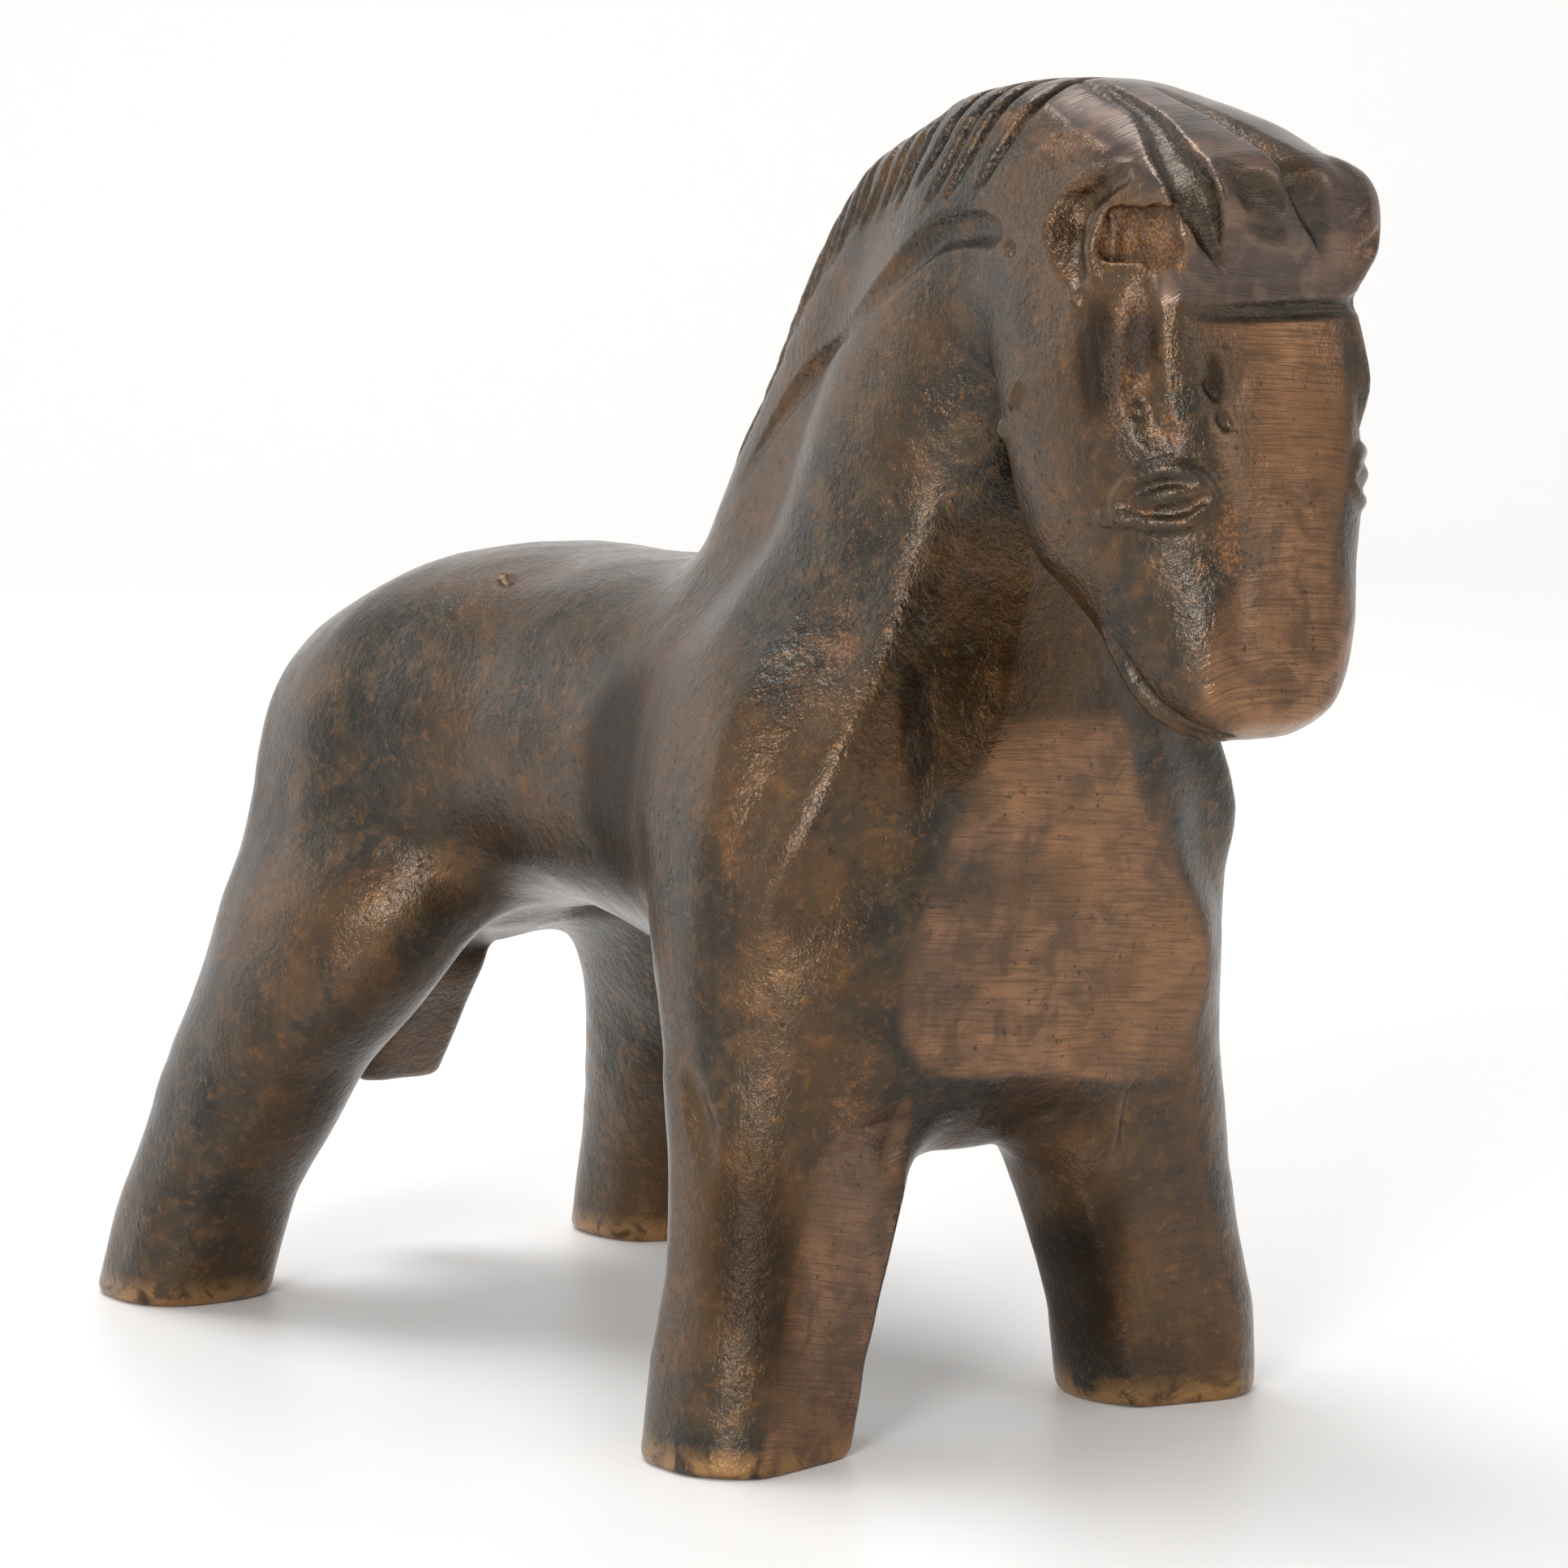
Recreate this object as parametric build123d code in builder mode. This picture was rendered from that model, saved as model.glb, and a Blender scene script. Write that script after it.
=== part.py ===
from build123d import *
import math
import os

# Bronze horse statue. Millimetres, +Z up, the horse faces -Y, its right side is -X.
# The origin is on the ground under the middle of the overall length and width.

# Cuts reach this far each way, well past the horse.
ACROSS = 100.0
RING_POINTS = 16
RING_GAP = 3.5

# Every loft is a row of rings. A ring is its place along the loft, its centre, its two
# half widths and its squareness: 2 is an ellipse, more is squarer.

# Chest, barrel and haunches, front to back: y, centre z, half width x, half height z, squareness.
BODY_RINGS = [
    (-34.2, 41.8, 16.6, 14.2, 2.6),
    (-30.0, 41.6, 19.6, 16.6, 2.6),
    (-26.0, 41.7, 22.4, 19.0, 2.55),
    (-22.0, 42.1, 23.6, 20.8, 2.5),
    (-15.8, 44.0, 22.2, 20.0, 2.4),
    (-7.8, 46.5, 19.0, 17.3, 2.3),
    (3.2, 48.2, 17.0, 15.8, 2.2),
    (17.2, 49.5, 17.2, 14.6, 2.2),
    (28.2, 49.2, 19.4, 15.0, 2.2),
    (37.2, 47.4, 21.3, 16.3, 2.2),
    (45.2, 45.0, 20.4, 16.0, 2.2),
    (51.0, 43.4, 16.8, 14.4, 2.2),
    (55.6, 42.0, 11.8, 11.6, 2.2),
    (58.2, 41.4, 8.2, 9.0, 2.2),
]
RUMP_ROUND = 3.0

# Neck, bottom to top: z, y where it is widest, half width x, reach forward, reach back,
# squareness in front, squareness behind. The back narrows to a crest under the mane.
NECK_RINGS = [
    (46.0, -18.0, 20.0, 15.0, 24.0, 2.7, 1.9),
    (54.0, -18.0, 17.6, 15.6, 26.0, 2.7, 1.7),
    (60.0, -19.0, 15.0, 15.0, 28.6, 2.6, 1.5),
    (65.0, -21.0, 13.4, 13.8, 28.4, 2.5, 1.5),
    (70.0, -23.0, 12.2, 12.0, 28.0, 2.4, 1.5),
    (78.0, -26.0, 10.8, 12.2, 25.0, 2.3, 1.5),
    (86.0, -30.0, 9.0, 12.2, 24.4, 2.2, 1.6),
    (91.0, -32.6, 7.4, 11.0, 23.0, 2.1, 1.7),
    (95.0, -35.0, 5.4, 8.4, 19.4, 2.0, 1.8),
    (98.0, -36.0, 3.4, 5.6, 14.0, 2.0, 2.0),
]

# Mane, a raised band over the crest with slanted cuts.
MANE_PROUD = 1.2
MANE_OUTLINE = [
    (-41.0, 94.0),
    (-38.4, 89.3),
    (-30.0, 88.8),
    (-23.0, 85.8),
    (-15.2, 81.0),
    (-9.6, 75.4),
    (-6.0, 70.0),
    (8.0, 73.0),
    (0.0, 106.0),
    (-36.0, 106.0),
]
MANE_CUTS = 17
MANE_CUT_DEPTH = 0.6
MANE_CUT_WIDTH = 0.55
MANE_CUT_LENGTH = 16.0
MANE_ARC_CENTRE = (-38.0, 61.0)
MANE_ARC_RADIUS = 38.0
MANE_ARC_START = 20.0
MANE_ARC_END = 80.0
MANE_CUT_LEAN = 20.0

# Skull and muzzle, chin to brow: z, centre y, half width x, half length y, squareness.
HEAD_RINGS = [
    (54.7, -56.0, 4.6, 3.6, 2.4),
    (56.6, -56.2, 6.8, 4.8, 2.5),
    (59.0, -55.4, 8.0, 5.8, 2.6),
    (61.5, -54.2, 8.8, 7.0, 2.6),
    (64.0, -52.4, 9.6, 8.8, 2.5),
    (67.0, -50.2, 10.7, 10.6, 2.4),
    (72.0, -49.0, 11.8, 11.4, 2.35),
    (79.0, -47.8, 12.2, 11.6, 2.4),
    (86.3, -46.6, 11.4, 11.2, 2.5),
]
BROW_Z = 86.3
BROW_GROOVE_AT = (-57.9, 84.3)
BROW_GROOVE_RADIUS = 0.8
FACE_FLAT = [(-56.6, 90.0), (-57.4, 84.0), (-60.4, 70.0), (-61.0, 50.0), (-70.0, 50.0), (-70.0, 90.0)]
MOUTH = [(-50.5, 60.6), (-58.5, 56.6), (-62.0, 56.0), (-62.0, 56.6), (-58.5, 57.2), (-50.8, 61.2)]
MOUTH_X = 7.4
MOUTH_REACH = 6.0

# Forelock cap, front to back: y, centre z, half width x, half height z, squareness.
FORELOCK_RINGS = [
    (-60.2, 89.8, 7.0, 2.6, 2.8),
    (-59.4, 89.9, 8.2, 3.4, 2.8),
    (-56.8, 90.4, 9.0, 4.8, 2.7),
    (-51.8, 91.0, 9.4, 7.0, 2.5),
    (-45.8, 91.4, 9.2, 8.2, 2.3),
    (-38.8, 92.0, 8.4, 8.0, 2.2),
    (-32.0, 92.0, 7.0, 7.3, 2.1),
]
FORELOCK_OUTLINE = [
    (-57.9, BROW_Z),
    (-59.4, 90.5),
    (-60.5, 106.0),
    (-36.0, 106.0),
    (-41.0, 94.0),
    (-40.0, BROW_Z),
]
GOUGE_AXIS = (-44.0, 83.6)
GOUGE_RADIUS = 16.4
GOUGE_DEPTH = 1.5
GOUGE_HALF_WIDTH = 1.2
GOUGE_X = (-5.6, 2.4)

# Ears, curled lobes on the corners of the cap: z, centre y, half width x, half length y, squareness.
EAR_X = 9.2
EAR_RINGS = [
    (87.0, -52.4, 1.6, 3.2, 2.4),
    (88.2, -52.4, 2.8, 4.8, 2.4),
    (91.5, -51.8, 3.0, 5.4, 2.4),
    (94.5, -50.6, 2.4, 4.4, 2.4),
    (96.2, -50.0, 1.2, 2.4, 2.4),
]
EAR_HOLLOW = (4.0, 3.0, 3.6)
EAR_HOLLOW_AT = (11.9, -55.4, 90.2)
EAR_HOLLOW_TURN = 50.0

# Eyes, an almond pad with a sunk middle, set into the side of the head.
EYE_AT = (9.2, -57.0, 71.9)
EYE_TURN = 52.0
EYE_HALF_LENGTH = 3.4
EYE_HALF_HEIGHT = 2.1
EYE_PROUD = 0.9
EYE_ROOT = 2.4
LID_WIDTH = 0.8
LID_DEPTH = 0.5

# Legs, foot to top: z, centre x, centre y, half width x, half length y, squareness.
FORELEG_RINGS = [
    (0.0, 20.0, -23.5, 7.5, 7.6, 2.5),
    (7.0, 19.0, -23.6, 7.7, 7.2, 2.5),
    (13.0, 17.4, -23.4, 8.1, 6.9, 2.4),
    (21.0, 15.6, -22.8, 9.1, 7.4, 2.4),
    (28.0, 14.4, -22.1, 9.6, 8.6, 2.3),
    (36.0, 13.2, -21.6, 8.8, 9.2, 2.2),
]
HIND_LEG_RINGS = [
    (0.0, 24.2, 54.0, 7.0, 7.0, 2.5),
    (8.0, 23.5, 51.2, 7.0, 7.1, 2.5),
    (15.0, 22.2, 47.4, 7.3, 8.2, 2.4),
    (20.0, 21.2, 45.0, 7.4, 9.2, 2.4),
    (25.0, 19.9, 41.8, 8.0, 11.0, 2.3),
    (30.0, 18.0, 39.6, 8.6, 13.0, 2.2),
    (36.0, 15.2, 38.4, 8.8, 12.6, 2.2),
    (43.0, 12.0, 38.4, 8.4, 10.6, 2.2),
    (50.0, 10.0, 38.4, 7.0, 8.0, 2.2),
]

# Tail, a flat slab, tip to root: z, centre y, width, thickness.
TAIL_RINGS = [
    (15.5, 59.2, 8.2, 3.6),
    (21.5, 54.0, 7.4, 3.8),
    (28.0, 50.0, 6.4, 4.0),
    (36.0, 48.4, 5.6, 4.4),
]
TAIL_CORNER = 0.9


def slope_at(rings, k, column):
    """Slope through ring k that never overshoots its neighbours."""
    before = (rings[k][column] - rings[k - 1][column]) / (rings[k][0] - rings[k - 1][0])
    after = (rings[k + 1][column] - rings[k][column]) / (rings[k + 1][0] - rings[k][0])
    if before * after <= 0:
        return 0.0
    return 2 * before * after / (before + after)


def filled_in(rings, gap):
    """The same rings at an even spacing, each value following a smooth curve."""
    last = len(rings) - 1
    span = rings[last][0] - rings[0][0]
    count = max(2, round(span / gap))
    even = []
    for step in range(count + 1):
        place = rings[0][0] + span * step / count
        k = 0
        while k < last - 1 and place > rings[k + 1][0]:
            k += 1
        width = rings[k + 1][0] - rings[k][0]
        t = (place - rings[k][0]) / width
        values = [place]
        for column in range(1, len(rings[0])):
            low = rings[k][column]
            high = rings[k + 1][column]
            straight = (high - low) / width
            enter = slope_at(rings, k, column) if k > 0 else straight
            leave = slope_at(rings, k + 1, column) if k + 1 < last else straight
            bend_in = (enter - straight) * width * t * (1 - t) ** 2
            bend_out = (leave - straight) * width * t * t * (1 - t)
            values.append(low + (high - low) * t + bend_in - bend_out)
        even.append(tuple(values))
    return even


def ring_face(plane, half_u, up_v, down_v, square_up, square_down):
    """One ring of a loft as a face: a superellipse above and another below its widest line."""
    points = []
    for step in range(RING_POINTS):
        angle = 2 * math.pi * step / RING_POINTS
        c = math.cos(angle)
        s = math.sin(angle)
        half_v = up_v if s > 0 else down_v
        squareness = square_up if s > 0 else square_down
        u = half_u * math.copysign(abs(c) ** (2 / squareness), c)
        v = half_v * math.copysign(abs(s) ** (2 / squareness), s)
        points.append((u, v))
    with BuildSketch(plane) as face:
        with BuildLine():
            Spline(*points, periodic=True)
        make_face()
    return face.sketch


def level(x, y, z):
    """A level plane with its origin at a point."""
    return Plane(origin=(x, y, z), x_dir=(1, 0, 0), z_dir=(0, 0, 1))


def upright(y, z):
    """A plane across the horse, seen from the front."""
    return Plane(origin=(0, y, z), x_dir=(1, 0, 0), z_dir=(0, -1, 0))


def level_rings(rings, x=0.0):
    even = filled_in(rings, RING_GAP)
    return [ring_face(level(x, y, z), a, b, b, n, n) for z, y, a, b, n in even]


def upright_rings(rings):
    even = filled_in(rings, RING_GAP)
    return [ring_face(upright(y, z), a, b, b, n, n) for y, z, a, b, n in even]


def side_prism(outline):
    """A side outline carried right across the horse."""
    with BuildPart() as prism:
        with BuildSketch(Plane.YZ):
            with BuildLine():
                Polyline(*outline, close=True)
            make_face()
        extrude(amount=ACROSS, both=True)
    return prism.part


# Body: chest, barrel and haunches.
with BuildPart() as body:
    loft(sections=upright_rings(BODY_RINGS))
    fillet(body.edges().group_by(Axis.Y)[-1], radius=RUMP_ROUND)
body.part.label = "body"

# Head: flat filed face, brow groove and mouth.
with BuildPart() as head:
    loft(sections=level_rings(HEAD_RINGS))
    add(side_prism(FACE_FLAT), mode=Mode.SUBTRACT)
    with Locations(Location((0, BROW_GROOVE_AT[0], BROW_GROOVE_AT[1]), (0, 90, 0))):
        Cylinder(radius=BROW_GROOVE_RADIUS, height=ACROSS, mode=Mode.SUBTRACT)
    for side in (-1, 1):
        with BuildSketch(Plane.YZ.offset(side * MOUTH_X)):
            with BuildLine():
                Polyline(*MOUTH, close=True)
            make_face()
        extrude(amount=side * MOUTH_REACH, mode=Mode.SUBTRACT)
head.part.label = "head"

# Forelock: a cap over the poll, with two big V gouges run down to its front edge.
with BuildPart() as forelock:
    loft(sections=upright_rings(FORELOCK_RINGS))
    add(side_prism(FORELOCK_OUTLINE), mode=Mode.INTERSECT)
    for x in GOUGE_X:
        with BuildSketch(upright(*GOUGE_AXIS)):
            with BuildLine():
                Polyline(
                    (x, GOUGE_RADIUS - GOUGE_DEPTH),
                    (x + 2 * GOUGE_HALF_WIDTH, GOUGE_RADIUS + GOUGE_DEPTH),
                    (x - 2 * GOUGE_HALF_WIDTH, GOUGE_RADIUS + GOUGE_DEPTH),
                    close=True,
                )
            make_face()
        revolve(axis=Axis((0, *GOUGE_AXIS), (1, 0, 0)), mode=Mode.SUBTRACT)
forelock.part.label = "forelock"


def neck_loft(grow):
    """The neck's own shape, swollen by the same amount all round."""
    with BuildPart() as part:
        faces = []
        for z, y, half, front, back, square_front, square_back in filled_in(NECK_RINGS, RING_GAP):
            plane = level(0, y, z + grow)
            faces.append(
                ring_face(plane, half + grow, back + grow, front + grow, square_back, square_front)
            )
        loft(sections=faces)
    return part.part


# Neck: wide and square in front, narrowing to the crest behind.
with BuildPart() as neck:
    add(neck_loft(0.0))
    add(body.part, mode=Mode.SUBTRACT)
    add(head.part, mode=Mode.SUBTRACT)
    add(forelock.part, mode=Mode.SUBTRACT)
neck.part.label = "neck"

# Mane: slanted cuts run over the band, no deeper than its core.
with BuildPart() as mane:
    add(neck_loft(MANE_PROUD))
    with BuildSketch(Plane.YZ):
        for cut in range(MANE_CUTS):
            share = cut / (MANE_CUTS - 1)
            angle = math.radians(MANE_ARC_START + share * (MANE_ARC_END - MANE_ARC_START))
            across = MANE_ARC_CENTRE[0] + MANE_ARC_RADIUS * math.cos(angle)
            up = MANE_ARC_CENTRE[1] + MANE_ARC_RADIUS * math.sin(angle)
            with Locations(Location((across, up, 0), (0, 0, MANE_CUT_LEAN))):
                Rectangle(MANE_CUT_WIDTH, MANE_CUT_LENGTH)
    extrude(amount=ACROSS, both=True, mode=Mode.SUBTRACT)
    add(neck_loft(MANE_PROUD - MANE_CUT_DEPTH))
    add(side_prism(MANE_OUTLINE), mode=Mode.INTERSECT)
    add(neck_loft(0.0), mode=Mode.SUBTRACT)
    add(forelock.part, mode=Mode.SUBTRACT)
    add(head.part, mode=Mode.SUBTRACT)
mane.part.label = "mane"


def ear(side):
    """A curled lobe, hollowed on its forward outer face."""
    with BuildPart() as part:
        loft(sections=level_rings(EAR_RINGS, side * EAR_X))
        x, y, z = EAR_HOLLOW_AT
        with Locations(Location((side * x, y, z), (0, 0, -side * EAR_HOLLOW_TURN))):
            Box(*EAR_HOLLOW, mode=Mode.SUBTRACT)
        for neighbour in (head, forelock, neck, mane):
            add(neighbour.part, mode=Mode.SUBTRACT)
    return part.part


def eye(side):
    """An almond pad standing out of the head, with its middle sunk inside the lids."""
    x, y, z = EYE_AT
    turn = math.radians(EYE_TURN)
    out = (side * math.sin(turn), -math.cos(turn), 0)
    along = (math.cos(turn), side * math.sin(turn), 0)
    pad = Plane(origin=(side * x, y, z), x_dir=along, z_dir=out)
    with BuildPart() as part:
        with BuildSketch(pad.offset(-EYE_ROOT)):
            Ellipse(EYE_HALF_LENGTH, EYE_HALF_HEIGHT)
        extrude(amount=EYE_ROOT + EYE_PROUD)
        with BuildSketch(pad.offset(EYE_PROUD - LID_DEPTH)):
            Ellipse(EYE_HALF_LENGTH - LID_WIDTH, EYE_HALF_HEIGHT - LID_WIDTH)
        extrude(amount=LID_DEPTH, mode=Mode.SUBTRACT)
        add(head.part, mode=Mode.SUBTRACT)
    return part.part


def leg(rings, side):
    """A leg with a flat-cut foot, fitted up to the body."""
    with BuildPart() as part:
        faces = []
        for z, x, y, a, b, n in filled_in(rings, RING_GAP):
            faces.append(ring_face(level(side * x, y, z), a, b, b, n, n))
        loft(sections=faces)
        add(body.part, mode=Mode.SUBTRACT)
    return part.part


# Tail: a flat slab, wider at its squared-off tip.
with BuildPart() as tail:
    slabs = []
    for z, y, width, thickness in TAIL_RINGS:
        with BuildSketch(level(0, y, z)) as slab:
            RectangleRounded(width, thickness, TAIL_CORNER)
        slabs.append(slab.sketch)
    loft(sections=slabs)
    add(body.part, mode=Mode.SUBTRACT)
tail.part.label = "tail"

pieces = [body, head, forelock, neck, mane, tail]
os.makedirs("parts", exist_ok=True)
for piece in pieces:
    export_step(piece.part, f"parts/{piece.part.label}.step")
for name, side in (("right", -1), ("left", 1)):
    pair = {
        f"ear_{name}": ear(side),
        f"eye_{name}": eye(side),
        f"foreleg_{name}": leg(FORELEG_RINGS, side),
        f"hind_leg_{name}": leg(HIND_LEG_RINGS, side),
    }
    for label, solid in pair.items():
        solid.label = label
        export_step(solid, f"parts/{label}.step")
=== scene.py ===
"""Looks of the small cast bronze horse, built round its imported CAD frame.

Shapes are worked out in millimetres, in the CAD frame, and scaled to metres when a mesh is made.
"""
import math
import bpy
import numpy as np
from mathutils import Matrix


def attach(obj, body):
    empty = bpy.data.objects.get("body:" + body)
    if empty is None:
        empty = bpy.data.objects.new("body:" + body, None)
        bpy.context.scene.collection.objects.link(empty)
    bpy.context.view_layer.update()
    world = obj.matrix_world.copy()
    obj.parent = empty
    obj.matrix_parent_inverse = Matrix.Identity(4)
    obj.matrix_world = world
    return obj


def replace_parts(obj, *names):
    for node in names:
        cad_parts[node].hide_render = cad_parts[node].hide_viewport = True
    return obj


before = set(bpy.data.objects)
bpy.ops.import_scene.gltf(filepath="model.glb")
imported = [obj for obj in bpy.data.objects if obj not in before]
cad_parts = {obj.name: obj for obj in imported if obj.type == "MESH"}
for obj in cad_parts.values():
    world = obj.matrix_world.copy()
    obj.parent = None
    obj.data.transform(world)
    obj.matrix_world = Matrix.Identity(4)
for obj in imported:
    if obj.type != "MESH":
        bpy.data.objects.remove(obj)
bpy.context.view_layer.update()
for spare in ("Cube", "Light", "Camera"):
    if spare in bpy.data.objects:
        bpy.data.objects.remove(bpy.data.objects[spare])

MM = 0.001
CELL = 0.32          # spacing of the surface grid
COARSE = 4           # grid cells per coarse block
BATCH = 400000       # grid points worked out at a time
CORNERS = [(i, j, k) for i in (0, 1) for j in (0, 1) for k in (0, 1)]

# ---------------------------------------------------------------- shape tables
# Rows of a loft: place, centre across, centre up (or back), half widths, squareness.
TRUNK = [
    (-33.8, -0.3, 42, 14, 13.5, 2.6), (-28.8, -0.6, 41.5, 20, 17, 2.6),
    (-22.8, -0.6, 42, 23.4, 21, 2.5), (-15.8, -0.6, 44, 22.0, 20, 2.4),
    (-7.8, -0.3, 46.5, 19, 17.3, 2.3), (3.2, 0, 48.2, 17, 15.8, 2.2),
    (17.2, -0.2, 49.5, 17.3, 14.6, 2.2), (28.2, -0.4, 49.2, 19.5, 15, 2.2),
    (37.2, -0.5, 47.4, 21.4, 16.3, 2.2), (45.2, -0.5, 45, 20.5, 16, 2.2),
    (52.2, -0.3, 43, 16.0, 14, 2.2), (57.6, 0, 41, 9.4, 10, 2.2),
]
NECK = [
    (46, 0, -20.8, 21, 14, 2.8), (54, 0, -20.3, 18, 14, 2.7),
    (62, 0, -20.8, 14.6, 13, 2.5), (70, 0, -22.8, 12.4, 12.3, 2.4),
    (78, 0, -25.8, 11.2, 12.5, 2.3), (86, 0, -30.3, 10.0, 12.3, 2.2),
    (92, 0, -33.8, 8.6, 11, 2.2), (96, 0, -36.0, 6.5, 8, 2.2),
]
CREST = [
    (56, 0, -5.8, 13, 13, 2.0), (64, 0, -6.8, 9.5, 12, 2.0),
    (72, 0, -9.6, 6.9, 12.3, 2.0), (80, 0, -13.5, 5.8, 11.4, 2.0),
    (88, 0, -19.6, 5.7, 12.4, 2.0), (94, 0, -26.6, 5.8, 13.8, 2.0),
    (98.5, 0, -32.8, 5.0, 10, 2.0),
]
HEAD = [
    (54.8, -1.1, -56.0, 4.4, 3.6, 2.4), (56.7, -1.1, -56.1, 6.4, 4.8, 2.5),
    (59, -0.9, -55.4, 7.8, 5.7, 2.6), (61.5, -0.7, -54.2, 8.6, 7.0, 2.6),
    (64, -0.4, -52.4, 9.4, 8.7, 2.5), (67, -0.3, -50.2, 10.5, 10.6, 2.4),
    (72, -0.1, -49, 11.7, 11.4, 2.35), (79, 0.1, -47.8, 12.3, 11.9, 2.4),
    (85, 0, -46.8, 11.6, 12.1, 2.7), (92, 0, -45.8, 10.2, 10.4, 2.6),
]
CAP = [
    (-59.6, 0, 89.4, 7.6, 4.4, 2.8), (-57.4, 0, 89.6, 9.0, 5.6, 2.7),
    (-51.8, 0, 90.6, 9.4, 7.2, 2.5), (-45.8, 0, 91.4, 9.2, 8.0, 2.3),
    (-38.8, 0, 92.0, 8.4, 8.0, 2.2), (-30.8, 0, 92.0, 7.4, 7.6, 2.1),
    (-24.8, 0, 92.0, 6.0, 6.0, 2.0),
]
FORELEG = [
    (0, 20.0, -23.2, 7.4, 7.0, 2.4), (7, 19.0, -23.5, 7.7, 7.1, 2.5),
    (13, 17.4, -23.4, 8.1, 6.9, 2.4), (21, 15.6, -22.8, 9.1, 7.4, 2.4),
    (28, 14.4, -22.1, 9.9, 8.8, 2.3), (36, 13.4, -21.6, 10.2, 10.5, 2.2),
    (44, 12.0, -21.3, 9.5, 11.0, 2.2),
]
HIND_LEG = [
    (0, 24.2, 54.0, 7.0, 7.0, 2.5), (8, 23.5, 51.2, 7.0, 7.1, 2.5),
    (15, 22.2, 47.4, 7.3, 8.2, 2.4), (20, 21.2, 45.0, 7.4, 9.2, 2.4),
    (25, 19.9, 41.8, 8.0, 11.0, 2.3), (30, 18.0, 39.6, 8.6, 13.0, 2.2),
    (36, 15.4, 38.2, 9.6, 14.0, 2.2), (44, 12.0, 37.7, 10.0, 14.0, 2.2),
]
TAIL = [
    (15.5, 0, 59.2, 4.1, 1.5, 4.0), (22, 0, 53.9, 3.6, 1.5, 4.0),
    (28, 0, 49.2, 3.1, 1.6, 4.0), (36, 0, 47.2, 2.8, 3.0, 3.0),
    (44, 0, 49.2, 2.6, 4.0, 3.0),
]
# Front of the filed face and of the forelock above it, as z and the y there.
FACE = [(54.0, -59.8), (56.5, -60.7), (60.0, -61.1), (66.0, -60.8), (72.0, -59.9),
        (79.0, -58.5), (84.0, -57.5), (87.0, -57.9), (90.0, -58.9), (93.0, -59.3), (100, -59.5)]
# Flat cuts: a point on the cut and the way it faces.
CUTS = {
    "chest": ((-11.0, -33.7, 38.8), (0.05, -1.0, -0.14)),
    "under": ((0.0, -31.3, 27.3), (0.0, -0.72, -0.69)),
}
# Strokes: a shape and the spacing of its points, then rows of x, y, z, depth (below zero stands
# proud) and half width on either side.
STROKES = {
    # forelock gouges
    "gouge_1": ("scoop", 0.6, [
        (-2.4, -41.5, 99.8, 0.1, 0.3, 0.3), (-3.8, -46.0, 99.0, 0.45, 0.6, 0.6),
        (-5.3, -51.0, 97.4, 0.8, 1.0, 1.0), (-6.8, -55.2, 94.8, 1.3, 1.6, 1.4),
        (-7.0, -57.8, 92.0, 1.6, 1.85, 1.6), (-6.2, -58.4, 89.6, 1.3, 1.5, 1.3),
        (-5.1, -58.0, 87.8, 0.5, 0.6, 0.6), (-4.5, -57.7, 86.9, 0.05, 0.25, 0.25)]),
    "gouge_2": ("vee", 0.6, [
        (-0.6, -45.5, 99.4, 0.1, 0.3, 0.4), (-1.0, -51.0, 98.0, 0.5, 0.5, 1.0),
        (-0.8, -55.2, 96.0, 0.9, 0.6, 2.2), (0.0, -58.0, 93.6, 1.15, 0.7, 3.0),
        (1.5, -59.0, 91.2, 1.15, 0.8, 2.8), (3.2, -58.9, 89.2, 0.8, 0.6, 1.8),
        (4.7, -58.2, 87.3, 0.05, 0.3, 0.3)]),
    "gouge_0": ("vee", 0.6, [
        (-2.0, -37.5, 99.9, 0.08, 0.25, 0.25), (-3.4, -42.0, 99.4, 0.25, 0.3, 0.3),
        (-4.9, -46.5, 98.4, 0.2, 0.3, 0.3), (-5.6, -49.0, 97.6, 0.05, 0.25, 0.25)]),
    "notch_top": ("round", 0.6, [
        (-4.3, -57.8, 92.9, 0.3, 1.1, 1.1), (-2.8, -58.2, 92.3, 0.8, 1.7, 1.7),
        (-1.2, -58.6, 91.6, 0.5, 1.3, 1.3)]),
    "notch_low": ("round", 0.6, [
        (-3.2, -58.6, 90.2, 0.2, 0.8, 0.8), (-1.6, -58.9, 89.7, 0.35, 1.0, 1.0),
        (-0.2, -58.9, 89.4, 0.4, 0.8, 0.8)]),
    # brow
    "brow_line": ("vee", 0.8, [
        (-7.4, -56.6, 85.9, 0.05, 0.3, 0.3), (-3.0, -57.8, 85.9, 0.14, 0.3, 0.3),
        (7.6, -56.4, 86.2, 0.1, 0.3, 0.3)]),
    "brow_groove": ("round", 0.8, [
        (-7.4, -56.8, 84.0, 0.1, 0.5, 0.5), (-4.5, -57.4, 84.0, 0.45, 0.75, 0.75),
        (3.0, -57.5, 84.2, 0.65, 0.85, 0.85), (8.4, -56.0, 84.5, 0.45, 0.8, 0.8)]),
}
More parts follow.
